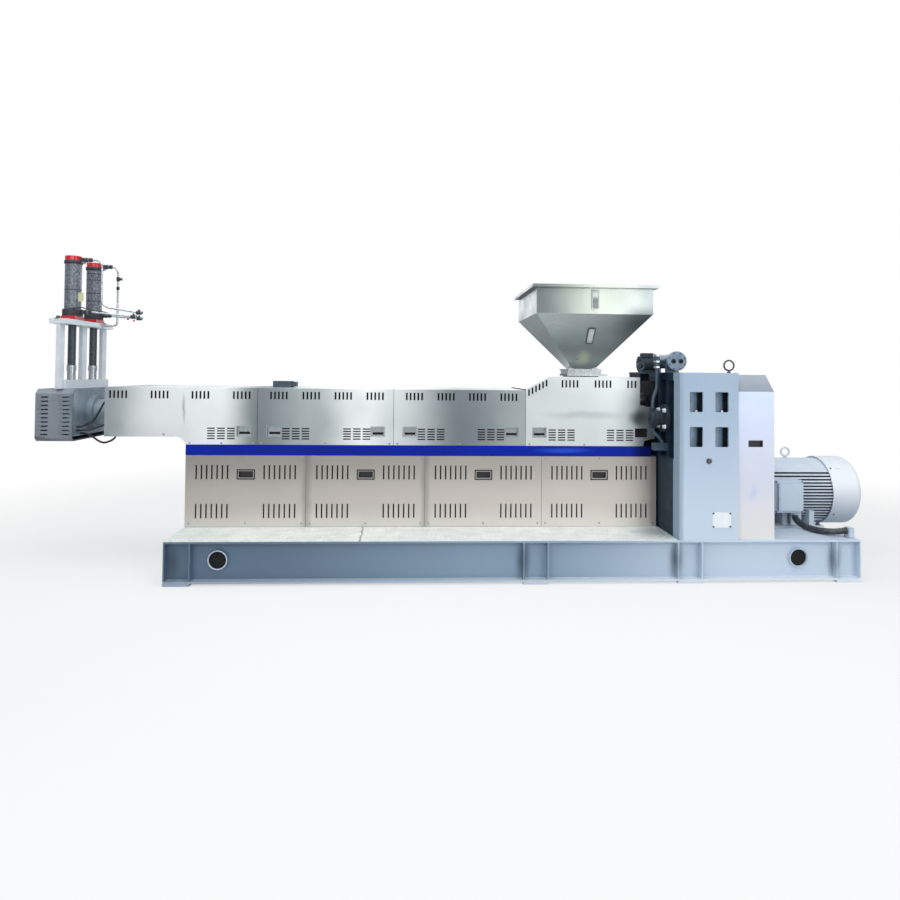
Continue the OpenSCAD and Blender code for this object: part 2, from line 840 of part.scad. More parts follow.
// Square funnel with side a below, side b above
module squareFunnel(a, b, z0, z1) {
  polyhedron(
    [
      [-a, -a, z0], [a, -a, z0], [a, a, z0], [-a, a, z0],
      [-b, -b, z1], [b, -b, z1], [b, b, z1], [-b, b, z1]
    ],
    [[0, 1, 2, 3], [4, 7, 6, 5], [0, 4, 5, 1], [1, 5, 6, 2], [2, 6, 7, 3], [3, 7, 4, 0]]
  );
}

module hopper_body() {
  z0 = hopperFlangeZ() + hopper_flange_t;
  z1 = z0 + hopper_taper_h;
  z2 = hopper_top - eps;
  a = outlet_side / 2 + sheet;
  b = hopper_side / 2;
  color("#cdd3cf") translate([hopper_x, 0, 0])
    difference() {
      union() {
        squareFunnel(a, b, z0, z1);
        translate([-b, -b, z1 - eps]) cube([2 * b, 2 * b, z2 - z1 + eps]);
      }
      squareFunnel(a - sheet - 1, b - sheet, z0 - 1, z1 + 1);
      translate([-b + sheet, -b + sheet, z1]) cube([2 * (b - sheet), 2 * (b - sheet), z2 - z1 + 2 * eps]);
    }
}

module hopper_rim() {
  b = hopper_side / 2;
  o = b + rim_w;
  color("#d6dbd8") difference() {
    translate([hopper_x - o, -o, hopper_top - rim_h]) cube([2 * o, 2 * o, rim_h]);
    translate([hopper_x - b, -b, hopper_top - rim_h - eps]) cube([2 * b, 2 * b, rim_h]);
    translate([hopper_x - b + sheet, -b + sheet, hopper_top - rim_h])
      cube([2 * (b - sheet), 2 * (b - sheet), rim_h + eps]);
  }
}

// One framed window on the upright wall and one on the slope below it
module sight_glasses() {
  glass_w = 44;
  glass_h = 142;
  glass_t = 8;
  z0 = hopperFlangeZ() + hopper_flange_t;
  z1 = z0 + hopper_taper_h;
  tilt = atan((hopper_side / 2 - outlet_side / 2 - sheet) / hopper_taper_h);
  share = 0.62;
  color("#9aa19f") {
    translate([hopper_x - glass_w / 2, -hopper_side / 2 - glass_t, z1 + 46]) cube([glass_w, glass_t, glass_h]);
    translate([hopper_x, -outlet_side / 2 - sheet - (hopper_side / 2 - outlet_side / 2 - sheet) * share, z0 + hopper_taper_h * share])
      rotate([tilt, 0, 0]) translate([-glass_w / 2, -glass_t, -glass_h / 2]) cube([glass_w, glass_t, glass_h]);
  }
}

module junction_box() {
  color("#44586e") translate([zone_2_x + 45, -70, cover_top]) {
    cube([150, 140, 52]);
    translate([150, 20, 6]) cube([38, 100, 40]);
  }
}

// Melt pipe between the barrel and the changer, with a flange at the changer
module melt_adapter() {
  flange_d = 290;
  flange_t2 = 45;
  x1 = nose_x + 60;
  color("#9fa6aa") {
    translate([changer_x1, 0, axis_z]) rotate([0, 90, 0]) cylinder(d = adapterD(), h = x1 - changer_x1);
    translate([changer_x1, 0, axis_z]) rotate([0, 90, 0]) cylinder(d = flange_d, h = flange_t2);
    translate([nose_x - 50, 0, axis_z]) rotate([0, 90, 0]) cylinder(d = flange_d, h = 40);
  }
}

module changer_body() {
  color("#a9b0b4") difference() {
    union() {
      translate([changer_x0, -changer_w / 2, changer_low]) cube([changer_len, changer_w, changer_h]);
      translate([changer_x0 - outlet_boss, 0, axis_z]) rotate([0, 90, 0]) cylinder(d = outlet_flange_d, h = outlet_boss);
    }
    for (s = [-1, 1])
      translate([changer_x, s * column_y, bore_low])
        cylinder(d = column_d + 2 * column_fit, h = changer_top - bore_low + eps);
    translate([changer_x0 - outlet_boss - eps, 0, axis_z]) rotate([0, 90, 0]) cylinder(d = melt_d, h = outlet_boss + 60);
    for (i = [0 : outlet_bolts - 1])
      translate([changer_x0 - outlet_boss - eps, 0, axis_z]) rotate([i * 360 / outlet_bolts, 0, 0])
        translate([0, outlet_pcd / 2, 0]) rotate([0, 90, 0]) cylinder(d = outlet_bolt_d, h = 36, $fn = 24);
  }
}

// Half outline of the guard in the YZ plane, drawn in from its outer skin by t
function guardOutline(t) =
  let (w = guard_w / 2 - t, k = t * (sqrt(2) - 1))
  let (z0 = guard_face_z, z1 = guard_face_z + guard_face_h)
  let (low = z0 - guard_bevel_low + t, top = z1 + guard_bevel - t)
  [
    [-w, z0 + k], [-w, z1 - k], [-w + guard_bevel - t + k, top],
    [w - guard_bevel + t - k, top], [w, z1 - k], [w, z0 + k],
    [w - guard_bevel_low + t - k, low], [-w + guard_bevel_low - t + k, low]
  ];

// Prism along X from an outline in the YZ plane
module alongX(x, l) {
  translate([x, 0, 0]) rotate([90, 0, 90]) linear_extrude(l) children();
}

module changer_guard() {
  louvres = 10;
  louvre_pitch = 32.2;
  louvre_w = 54;
  louvre_h = 12;
  louvres_x = [44, 207];
  louvre_low = 22;
  arm = 30;
  arm_y = 250;
  open_y = changer_w / 2 + 4;
  color("#8b8d98") {
    difference() {
      alongX(guard_x0, guard_len) polygon(guardOutline(0));
      alongX(guard_x0 + sheet, guard_len) polygon(guardOutline(sheet));
      translate([guard_x0 + sheet + 12, -open_y, changer_top - 60]) cube([guard_len, 2 * open_y, 120]);
      translate([guard_x0 - eps, 0, axis_z]) rotate([0, 90, 0]) cylinder(d = outlet_flange_d + 20, h = 20);
      for (s = [-1, 1], i = [0 : louvres - 1], x = louvres_x)
        translate([guard_x0 + x, s * guard_w / 2 - 10, guard_face_z + louvre_low + i * louvre_pitch])
          cube([louvre_w, 20, louvre_h]);
    }
    for (y = [-1, 1] * arm_y, z = [changer_low + arm, changer_top - 2 * arm])
      translate([guard_x0 + 1, y - arm / 2, z]) cube([changer_x0 - guard_x0 - 1, arm, arm]);
  }
}

// Upright frame of three posts between two flat bars, standing on the changer body
module changer_frame() {
  nose_bar = column_gap - 60;
  color("#e9edf0") {
    translate([changer_x + bar_gap, -column_gap, frame_z]) cube([bar_t, 2 * column_gap, bar_h]);
    translate([changer_x - bar_gap - bar_t, -nose_bar, frame_z]) cube([bar_t, 2 * nose_bar, bar_h]);
    for (y = [-column_gap, 0, column_gap]) {
      translate([changer_x - post_t / 2, y - post_d / 2, frame_z]) cube([post_t, post_d, plate_z - frame_z]);
      translate([changer_x, y - post_d / 2, frame_z]) cube([bar_gap + eps, post_d, bar_h]);
    }
    translate([changer_x - bar_gap - eps, -post_d / 2, frame_z]) cube([bar_gap, post_d, bar_h]);
  }
}

module frame_top_plate() {
  color("#eef1f3") difference() {
    translate([changer_x - plate_w / 2, -plate_len / 2, plate_z]) cube([plate_w, plate_len, plate_t]);
    for (s = [-1, 1])
      translate([changer_x, s * column_y, plate_z - eps]) cylinder(d = rod_d + 2 * rod_fit, h = plate_t + 2 * eps);
  }
}

module atColumns() {
  for (s = [-1, 1]) translate([changer_x, s * column_y, 0]) children();
}

module hydraulic_cylinders() {
  z0 = cylinder_z + foot_flange_t;
  body_h = cylinder_len - cap_h;
  collar_h = 55;
  ring_h = 20;
  block_w = 30;
  color("#3d434c") atColumns() difference() {
    union() {
      translate([0, 0, z0]) cylinder(d = cylinder_d, h = body_h);
      translate([0, 0, z0]) cylinder(d = cylinder_d + 24, h = collar_h);
      translate([0, 0, z0 + body_h - ring_h]) cylinder(d = cylinder_d + 12, h = ring_h);
      translate([cylinder_d / 2 - 10, -block_w / 2, port_low_z - block_w / 2])
        cube([port_out + 10, block_w, block_w]);
      translate([cylinder_d / 2 + 2, -block_w / 2, z0 + body_h - ring_h])
        cube([port_out - 2, block_w, port_high_z + block_w / 2 - z0 - body_h + ring_h]);
    }
    translate([0, 0, z0 - eps]) cylinder(d = rod_d + 2 * rod_fit, h = stroke + 70);
  }
}

module cylinder_caps() {
  color("#d01f2c") atColumns()
    translate([0, 0, cylinder_z + foot_flange_t + cylinder_len - cap_h]) cylinder(d = cylinder_d + 2, h = cap_h);
}

module cylinder_flanges() {
  side_x = plate_w - 28;
  side_y = cylinder_d + 26;
  color("#d01f2c") atColumns() difference() {
    translate([-side_x / 2, -side_y / 2, cylinder_z]) cube([side_x, side_y, foot_flange_t]);
    translate([0, 0, cylinder_z - eps]) cylinder(d = rod_d + 2 * rod_fit, h = foot_flange_t + 2 * eps);
  }
}

module pistonRod(y) {
  translate([changer_x, y, coupling_z + coupling_h]) cylinder(d = rod_d, h = rod_tip_z - coupling_z - coupling_h);
}

module front_piston_rod() {
  color("#23262c") pistonRod(-column_y);
}

module rear_piston_rod() {
  color("#23262c") pistonRod(column_y);
}

module screenColumn(y) {
  translate([changer_x, y, column_low]) cylinder(d = column_d, h = coupling_z - column_low + 1);
  translate([changer_x, y, coupling_z]) cylinder(d = coupling_d, h = coupling_h);
}

module front_screen_column() {
  color("#c6cacc") screenColumn(-column_y);
}

module rear_screen_column() {
  color("#c6cacc") screenColumn(column_y);
}

// Routes of the tubes, from a cylinder port to their fittings
port_low_z = cylinder_z + foot_flange_t + 37;
port_high_z = cylinder_z + foot_flange_t + cylinder_len - cap_h + 10;
port_out = 30;
port_x = changer_x + cylinder_d / 2 + port_out;
drop_near = 134;
drop_far = 108;
reach_high = 443;
reach_low = 400;
reach_far = 300;
block_z = plate_z + 22;
near_high = [
  [0, 0, port_high_z], [drop_near - 24, 0, port_high_z], [drop_near, 0, port_high_z - 36],
  [drop_near, 0, plate_z + 186], [drop_near + 42, 0, plate_z + 148], [reach_high, 0, plate_z + 108]
];
near_low = [[0, 0, port_low_z], [60, 0, port_low_z], [120, 0, port_low_z - 6], [reach_low, 0, plate_z + 74]];
far_high = [
  [0, 0, port_high_z], [drop_far - 34, 0, port_high_z], [drop_far, 0, port_high_z - 30],
  [drop_far, 0, block_z], [16, 0, block_z]
];
far_low = [[0, 0, port_low_z], [60, 0, port_low_z], [110, 0, port_low_z - 8], [reach_far, 0, plate_z + 88]];

function fromPort(y, route) = [for (p = route) [port_x + p[0], y + p[1], p[2]]];

fitting_len = 34;

module lineFittings(x, y, z) {
  translate([x, y, z]) rotate([0, 90, 0]) cylinder(d = line_d + 14, h = fitting_len, $fn = 24);
}

module hydraulic_lines() {
  block_w = 28;
  color("#b6bcc0") {
    for (r = [near_high, near_low]) pipeRun(roundedRoute(fromPort(-column_y, r), 30), line_d);
    for (r = [far_high, far_low]) pipeRun(roundedRoute(fromPort(column_y, r), 30), line_d);
    for (s = [-1, 1], z = [port_low_z, port_high_z]) lineFittings(port_x, s * column_y, z);
    lineFittings(port_x + reach_high - fitting_len / 2, -column_y, plate_z + 109);
    lineFittings(port_x + reach_low - fitting_len / 2, -column_y, plate_z + 74);
    lineFittings(port_x + reach_far - fitting_len / 2, column_y, plate_z + 88);
  }
  color("#e9edf0") translate([changer_x + plate_w / 2, column_y - block_w / 2, block_z - block_w / 2])
    cube([port_x + 24 - changer_x - plate_w / 2, block_w, block_w]);
}

// Black leads from the changer to the nose cover, and the loop that hangs below it
lead_y = -changer_w / 2 + 60;
lead_upper = [[0, 0, 1090], [40, 0, 1090], [120, 20, 1130], [170, 40, 1240], [190, 50, 1290], [224, 50, 1290]];
lead_lower = [[0, 0, 1062], [90, 0, 1062], [160, 30, 1090], [190, 50, 1104], [224, 50, 1104]];
lead_loop = [
  [0, 60, 1034], [40, 60, 1034], [100, 50, 1010], [150, 40, 975], [200, 30, 958], [250, 40, 975],
  [280, 50, 1000], [280, 50, 1025]
];

function fromChanger(route) = [for (p = route) [changer_x1 + p[0], lead_y + p[1], p[2]]];
function toNose(route) = concat(fromChanger(route), [[nose_x, lead_y + 50, route[len(route) - 1][2]]]);

module heater_leads() {
  lead_d = 16;
  color("#20242b")
    for (r = [toNose(lead_upper), toNose(lead_lower), fromChanger(lead_loop)])
      pipeRun(roundedRoute(r, 40, 3), lead_d);
}

module gearbox_housing() {
  y1 = beam_y - face_t;
  core_y = y1 - pocket_d;
  rear_y = beam_y * 0.4;
  flange_h = 20;
  side_t = 16;
  boss_r = 58;
  ribs = 9;
  color("#5d7183") {
    difference() {
      translate([gear_x0, -y1, deck_z]) cube([gear_len, 2 * y1, gear_h]);
      for (s = [0, 1]) mirror([0, s, 0])
        translate([gear_x0 + side_t, -y1 - eps, deck_z + flange_h])
          cube([gear_len - 2 * side_t, pocket_d + eps, gear_h - 2 * flange_h - s * gear_drop]);
      for (i = [0 : ribs - 1])
        if (abs(ribY(i, ribs, core_y)) > 300)
          translate([gear_x0 - eps, ribY(i, ribs, core_y) - ribGap(ribs, core_y) / 2, band_z + 20])
            cube([rib_d + eps, ribGap(ribs, core_y), gear_top - flange_h - band_z - 60]);
      translate([gear_x0 - eps, rear_y, gear_top - gear_drop]) cube([gear_len + 2 * eps, y1, gear_drop + eps]);
    }
    for (s = [0, 1], x = [-1, 1]) mirror([0, s, 0])
      translate([gear_x0 + gear_len / 2 + x * window_gap_x / 2 - 22, -core_y, deck_z + flange_h])
        cylinder(r = boss_r, h = gear_h - 2 * flange_h - s * gear_drop);
  }
}

function ribY(i, n, y1) = -y1 + (i + 0.5) * 2 * y1 / n;
function ribGap(n, y1) = 2 * y1 / n - 70;

// Face plate of height h with four windows
module facePlate(h) {
  uprightSheet(-beam_y, face_t) difference() {
    translate([gear_x0, deck_z]) square([gear_len, h]);
    for (x = [-1, 1], z = [-1, 1])
      translate([gear_x0 + gear_len / 2 + x * window_gap_x / 2, deck_z + window_z + z * window_gap_z / 2])
        offset(r = window_r) square([window_w - 2 * window_r, window_h - 2 * window_r], center = true);
  }
}

module gearbox_front_plate() {
  color("#afc2d4") facePlate(gear_h);
}

module gearbox_rear_plate() {
  color("#afc2d4") onRear() facePlate(gear_h - gear_drop);
}

module output_flange() {
  color("#7c8b96")
    translate([outputX0(), 0, axis_z]) rotate([0, 90, 0]) cylinder(d = output_d, h = gear_x0 - outputX0());
}

// Oil pump on the side of the gearbox, with its ports above and below
pump_y = -560;
pump_z = axis_z + 16;
pump_len = 124;
port_w = 44;
port_half = 78;
pipe_x = gear_x0 - pump_len + port_w / 2;
riser_x = gear_x0 - 62;
cooler_x = gear_x0 + 117;
cooler_y = -500;
cooler_z = gear_top + 92;
inlet_out = 10;
inlet_x = cooler_x - cooler_d / 2 - inlet_out;
inlet_y = cooler_y + 64;
sump_z = band_z + 72;

module oil_pump() {
  seat_t = 26;
  color("#2b343c") {
    translate([gear_x0 - seat_t, pump_y, pump_z]) rotate([0, 90, 0]) cylinder(d = pump_seat_d, h = seat_t);
    translate([gear_x0 - pump_len, pump_y, pump_z]) rotate([0, 90, 0]) cylinder(d = pump_d, h = pump_len);
    translate([pipe_x - port_w / 2, pump_y - port_w / 2, pump_z - port_half]) cube([port_w, port_w, 2 * port_half]);
  }
}

// One pipe up to the cooler, past a tall valve, and one down to a block on the sump
module oil_pipes() {
  pipe_r = 36;
  riser_y = pump_y + 20;
  pump_top = pump_z + port_half;
  riser_h = cooler_z - pump_top;
  valve_h = 96;
  block = [112, 56, 56];
  color("#5b6d79") {
    pipeRun(roundedRoute([
      [pipe_x, pump_y, pump_top], [pipe_x, pump_y, pump_top + riser_h * 0.18], [riser_x, riser_y, pump_top + riser_h * 0.42],
      [riser_x, riser_y, cooler_z - 14], [riser_x + 6, inlet_y, cooler_z], [inlet_x, inlet_y, cooler_z]
    ], pipe_r), oil_pipe_d, [0.35, 0.75, -0.2]);
    translate([riser_x, riser_y, cooler_z - valve_h / 2 - 6]) cylinder(d = oil_pipe_d + 16, h = valve_h);
    pipeRun(roundedRoute([
      [pipe_x, pump_y, pump_z - port_half], [pipe_x, pump_y, sump_z + 150], [riser_x + 16, pump_y - 8, sump_z + 90],
      [riser_x + 32, pump_y - 20, sump_z + block[2] - 2]
    ], pipe_r), oil_pipe_d, [0.35, 0.9, 0.1]);
    translate([gear_x0 - block[0], pump_y - block[1], sump_z]) cube(block);
  }
}

shelf_t = 12;
shelf_z = gear_top - shelf_t;
shelf_x0 = gear_x0 - 180;
shelf_y = -450;

module pump_shelf() {
  bracket_t = 12;
  y1 = -output_d / 2 - 8;
  color("#3a474f") {
    translate([shelf_x0, shelf_y, shelf_z]) cube([gear_x0 - shelf_x0, y1 - shelf_y, shelf_t]);
    for (y = [shelf_y, y1 - bracket_t]) translate([gear_x0 - 90, y, shelf_z - 60]) cube([90, bracket_t, 61]);
  }
}

// Small motor that drives the oil pump, on the shelf
module lube_motor() {
  body_d = 128;
  body_len = 126;
  x = shelf_x0 + 66;
  z = gear_top + body_d / 2 + 6;
  color("#2b343c") {
    translate([x, -255, z]) rotate([0, 90, 0]) cylinder(d = body_d, h = body_len);
    translate([x + 10, -300, gear_top]) cube([body_len - 20, 90, 20]);
    translate([x + 26, -300, z + body_d / 2 - 8]) cube([80, 90, 34]);
    translate([x + body_len - eps, -290, gear_top]) cube([38, 70, body_d - 10]);
  }
}

module oil_cooler() {
  cap_t = 34;
  foot = [100, 40];
  color("#5c6f80") translate([cooler_x, cooler_y, 0]) {
    translate([inlet_x - cooler_x, inlet_y - cooler_y, cooler_z]) rotate([0, 90, 0])
      cylinder(d = oil_pipe_d + 16, h = inlet_out + cooler_d / 4);
    translate([0, 0, cooler_z]) rotate([-90, 0, 0]) cylinder(d = cooler_d, h = cooler_len);
    for (y = [0, cooler_len - cap_t]) translate([0, y, cooler_z]) rotate([-90, 0, 0]) cylinder(d = cooler_cap_d, h = cap_t);
    for (y = [90, cooler_len - 90 - foot[1]])
      translate([-foot[0] / 2, y, gear_top]) cube([foot[0], foot[1], cooler_z - gear_top]);
  }
}

module coupling_guard() {
  w = coupling_w / 2;
  z0 = deck_z;
  z1 = deck_z + coupling_guard_h;
  guard_pull_x = 95;
  guard_pull_z = 692;
  color("#cdd3dc") difference() {
    alongX(gear_x1, coupling_len)
      polygon([[-w, z0], [-w, z1 - coupling_bevel], [-w + coupling_bevel, z1], [w - coupling_bevel, z1], [w, z1 - coupling_bevel], [w, z0]]);
    for (s = [-1, 1])
      translate([gear_x1 + guard_pull_x, s > 0 ? w - pull_d : -w - eps, deck_z + guard_pull_z])
        cube([pull_w, pull_d + eps, pull_h]);
  }
}

// Finned frame of the motor with its end shields and feet
module motor_frame() {
  fins = 16;
  end_len = 46;
  foot_w = 310;
  foot_h = 26;
  foot_x = [75, 605];
  webs = [[273, 43], [347, 89], [505, 43]];
  eye_x = 442;
  color("#c3cfda") {
    difference() {
      translate([motor_x0, 0, motor_axis_z]) rotate([0, 90, 0]) cylinder(r = motor_r, h = motor_len);
      for (s = [-1, 1], i = [0 : fins - 1])
        translate([
          motor_x0 + end_len, s * (finY(i, fins) + fin_d / 2) - fin_d, motor_axis_z + finZ(i, fins) - fin_gap / 2
        ]) cube([motor_len - end_len + eps, 2 * fin_d, fin_gap]);
    }
    translate([guard_x1, 0, motor_axis_z]) rotate([0, 90, 0]) cylinder(r = motor_r * 0.7, h = motor_x0 - guard_x1 + eps);
    for (w = webs)
      translate([motor_x0 + w[0], -foot_w + 50, motor_foot_z]) cube([w[1], 2 * (foot_w - 50), motor_shaft_h / 2]);
    for (s = [0, 1]) mirror([0, s, 0])
      translate([motor_x0 + foot_x[0], -foot_w, motor_foot_z]) cube([foot_x[1] - foot_x[0], 120, foot_h]);
    translate([box_x + 30, box_y, box_z + 40]) cube([box_w - 60, 120, box_h - 80]);
    translate([motor_x0 + eye_x, 0, motor_axis_z + motor_r - 3]) liftingEye(36, 9);
  }
}

function finZ(i, n) = (i - n / 2) * fin_pitch - fin_pitch / 2;
function finY(i, n) = sqrt(motor_r * motor_r - finZ(i, n) * finZ(i, n)) - fin_d * 0.7;

module fan_cowl() {
  dome = 46;
  wall = 4;
  color("#dde3e9") translate([cowl_x0, 0, motor_axis_z]) rotate([0, 90, 0])
    rotate_extrude(convexity = 4) polygon(concat(
      [[0, cowl_len], [0, cowl_len - wall], [cowl_r - dome, cowl_len - wall]],
      [[cowl_r - wall, cowl_len - dome], [cowl_r - wall, wall + 16], [motor_r - 30, wall + 16], [motor_r - 30, 16], [cowl_r - wall, 16], [cowl_r - wall, 0], [cowl_r, 0]],
      [for (a = [0 : 15 : 90]) [cowl_r - dome + dome * cos(a), cowl_len - dome + dome * sin(a)]]
    ));
}

box_x = motor_x0 + 138;
box_y = -motor_r - 2;
box_z = motor_axis_z - 130;
gland_x = box_x + box_w - 40;
gland_h = 24;

module terminal_box() {
  lid_t = 24;
  lid_in = 20;
  color("#c3d0dd") {
    translate([box_x, box_y - box_d, box_z]) cube([box_w, box_d, box_h]);
    translate([box_x + lid_in, box_y - box_d - lid_t, box_z + lid_in])
      cube([box_w - 2 * lid_in, lid_t + eps, box_h - 2 * lid_in]);
    translate([gland_x, box_y - box_d / 2, box_z - gland_h]) cylinder(d = conduit_d + 10, h = gland_h + 2);
  }
}

// Black flexible conduit from the terminal box down to its clamp on the deck
conduit_d = 46;
conduit_z = deck_z + conduit_d / 2 + 0.5;
clamp = [41, 60, 75];
clamp_x = base_x1 - 53;
clamp_y = -beam_y + 60;
conduit_end_z = deck_z + 48;
conduit_route = [
  [gland_x, box_y - box_d / 2, box_z - gland_h], [gland_x, box_y - box_d / 2, box_z - gland_h - 29],
  [gland_x - 7, -430, conduit_z], [gland_x - 9, -610, conduit_z], [gland_x + 35, -680, conduit_z + 3],
  [gland_x + 95, clamp_y + 60, conduit_end_z - 14], [clamp_x - 20, clamp_y + clamp[1] / 2 + 4, conduit_end_z],
  [clamp_x + clamp[0] + 6, clamp_y + clamp[1] / 2, conduit_end_z]
];

module motor_conduit() {
  color("#22262b") {
    pipeRun(roundedRoute(conduit_route, 50, 3), conduit_d, [0.1, 0.15, 1]);
    translate([clamp_x, clamp_y, deck_z]) cube(clamp);
  }
}

module lifting_eyes() {
  color("#5b6b78") {
    for (s = [-1, 1])
      translate([gear_x1 - 46, s * (beam_y - 60), gear_top - (s > 0 ? gear_drop : 0)]) liftingEye(38, 6.5);
    translate([shelf_x0 + 50, shelf_y + 100, gear_top]) liftingEye(28, 8);
  }
}

base_front_beam();
base_rear_beam();
base_cross_members();
foot_plates();
walkway_front();
walkway_rear();
drive_deck();
motor_bed();
cabinet_frame();
front_lower_panels();
rear_lower_panels();
cabinet_end_panels();
lower_panel_pulls();
blue_band();
barrel();
heater_bands();
barrel_supports();
nose_cover();
zone_1_cover();
zone_2_cover();
zone_3_cover();
feed_cover();
cover_pulls();
feed_housing();
hopper_body();
hopper_rim();
hopper_flange();
sight_glasses();
junction_box();
melt_adapter();
changer_body();
changer_guard();
changer_frame();
frame_top_plate();
hydraulic_cylinders();
cylinder_caps();
cylinder_flanges();
front_piston_rod();
rear_piston_rod();
front_screen_column();
rear_screen_column();
hydraulic_lines();
heater_leads();
gearbox_housing();
gearbox_front_plate();
gearbox_rear_plate();
output_flange();
oil_pump();
oil_pipes();
oil_cooler();
pump_shelf();
lube_motor();
coupling_guard();
motor_frame();
fan_cowl();
terminal_box();
motor_conduit();
lifting_eyes();
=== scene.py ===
import math
import bmesh
import bpy
from mathutils import Matrix, Vector


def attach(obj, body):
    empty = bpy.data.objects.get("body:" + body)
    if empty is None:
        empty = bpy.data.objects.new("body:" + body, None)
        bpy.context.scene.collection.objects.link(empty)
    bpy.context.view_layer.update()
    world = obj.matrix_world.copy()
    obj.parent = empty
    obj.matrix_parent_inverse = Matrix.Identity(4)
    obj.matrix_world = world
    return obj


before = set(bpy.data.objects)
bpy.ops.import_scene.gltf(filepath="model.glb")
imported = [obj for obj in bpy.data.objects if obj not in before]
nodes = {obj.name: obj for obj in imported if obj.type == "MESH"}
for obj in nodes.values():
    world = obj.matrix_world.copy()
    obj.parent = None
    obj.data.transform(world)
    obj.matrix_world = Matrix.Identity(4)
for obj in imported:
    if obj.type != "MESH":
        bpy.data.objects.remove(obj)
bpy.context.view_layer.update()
scene = bpy.context.scene
print("frame loaded:", len(nodes), "nodes")


def toLinear(hexText, alpha=1.0):  # "#rrggbb" in sRGB to a linear colour
    parts = [int(hexText[i:i + 2], 16) / 255 for i in (1, 3, 5)]
    return tuple(c / 12.92 if c <= 0.04045 else ((c + 0.055) / 1.055) ** 2.4 for c in parts) + (alpha,)


def addNode(tree, kind, inputs=None, stops=None, **settings):  # one node with its settings, values and links
    node = tree.nodes.new(kind)
    for name, value in settings.items():
        setattr(node, name, value)
    for name, value in (inputs or {}).items():
        if isinstance(value, bpy.types.NodeSocket):
            tree.links.new(value, node.inputs[name])
        else:
            node.inputs[name].default_value = value
    if stops:
        ramp = node.color_ramp
        while len(ramp.elements) < len(stops):
            ramp.elements.new(1.0)
        for element, (position, hexText) in zip(ramp.elements, stops):
            element.position, element.color = position, toLinear(hexText)
    return node


# Camera, fitted to the straight edges of the base, cabinet and gearbox
view = {"place": (-0.790, -5.791, 1.548), "yaw": 2.93, "pitch": 1.23, "roll": 0.55, "lens": 26.94, "shiftY": -0.102}
yaw, pitch, roll = (math.radians(view[k]) for k in ("yaw", "pitch", "roll"))
ahead = Vector((math.sin(yaw) * math.cos(pitch), math.cos(yaw) * math.cos(pitch), math.sin(pitch)))
level = Vector((math.cos(yaw), -math.sin(yaw), 0))
upright = level.cross(ahead)
right = math.cos(roll) * level + math.sin(roll) * upright
up = -math.sin(roll) * level + math.cos(roll) * upright
camera = bpy.data.objects.new("photoCamera", bpy.data.cameras.new("photoCamera"))
camera.data.sensor_width, camera.data.lens = 36, view["lens"]
camera.data.shift_x, camera.data.shift_y = 0, view["shiftY"]
camera.data.clip_start, camera.data.clip_end = 0.1, 200
camera.matrix_world = Matrix((
    (right.x, up.x, -ahead.x, view["place"][0]),
    (right.y, up.y, -ahead.y, view["place"][1]),
    (right.z, up.z, -ahead.z, view["place"][2]),
    (0, 0, 0, 1)))
scene.collection.objects.link(camera)
scene.camera = camera

# Studio: plain world, soft lamps and a pale floor
studio = {
    "worldLight": 0.52,
    "lamps": [  # place, aimed at, width, depth, watts
        ((-1.0, -1.5, 5.6), (-0.3, 0, 0.9), 8.0, 4.0, 240),
        ((-2.6, -6.4, 3.4), (-0.3, 0, 0.9), 4.0, 3.0, 105),
        ((3.6, -5.4, 2.6), (0.4, 0, 0.9), 3.0, 3.0, 80),
        ((0.0, 6.0, 3.8), (0, 0, 1.0), 6.0, 3.0, 95),
    ],
    "floor": "#d9dcde",
    "fadeFrom": 3.6,
    "fadeTo": 7.5,
}
scene.view_settings.view_transform = "Standard"
world = bpy.data.worlds.new("studioWorld")
scene.world = world
world.use_nodes = True
sky = world.node_tree
sky.nodes.clear()
rays = addNode(sky, "ShaderNodeLightPath")
skyPlace = addNode(sky, "ShaderNodeTexCoord")
skyAxes = addNode(sky, "ShaderNodeSeparateXYZ", {0: skyPlace.outputs["Generated"]})
skyTone = addNode(sky, "ShaderNodeValToRGB", {0: addNode(sky, "ShaderNodeMapRange", {0: skyAxes.outputs[2], 1: -0.5, 2: 0.9}).outputs[0]},
                  [(0.0, "#c4c8cc"), (0.36, "#a9aeb5"), (0.52, "#d3d8de"), (0.75, "#f2f5f8"), (1.0, "#ffffff")])
skyLit = addNode(sky, "ShaderNodeBackground", {"Color": skyTone.outputs[0], "Strength": studio["worldLight"]})
skyMirror = addNode(sky, "ShaderNodeBackground", {"Color": skyTone.outputs[0], "Strength": 1.0})
skySeen = addNode(sky, "ShaderNodeBackground", {"Color": (1, 1, 1, 1), "Strength": 1.0})
mirrored = addNode(sky, "ShaderNodeMath", {0: rays.outputs["Is Glossy Ray"], 1: rays.outputs["Is Transmission Ray"]}, operation="MAXIMUM")
skyMix = addNode(sky, "ShaderNodeMixShader", {0: mirrored.outputs[0], 1: skyLit.outputs[0], 2: skyMirror.outputs[0]})
skyAll = addNode(sky, "ShaderNodeMixShader", {0: rays.outputs["Is Camera Ray"], 1: skyMix.outputs[0], 2: skySeen.outputs[0]})
addNode(sky, "ShaderNodeOutputWorld", {0: skyAll.outputs[0]})

for number, (place, target, width, depth, watts) in enumerate(studio["lamps"]):
    lamp = bpy.data.objects.new("softLamp%d" % number, bpy.data.lights.new("softLamp%d" % number, "AREA"))
    lamp.data.shape, lamp.data.size, lamp.data.size_y, lamp.data.energy = "RECTANGLE", width, depth, watts
    lamp.location = place
    lamp.rotation_euler = (Vector(target) - Vector(place)).to_track_quat("-Z", "Y").to_euler()
    scene.collection.objects.link(lamp)

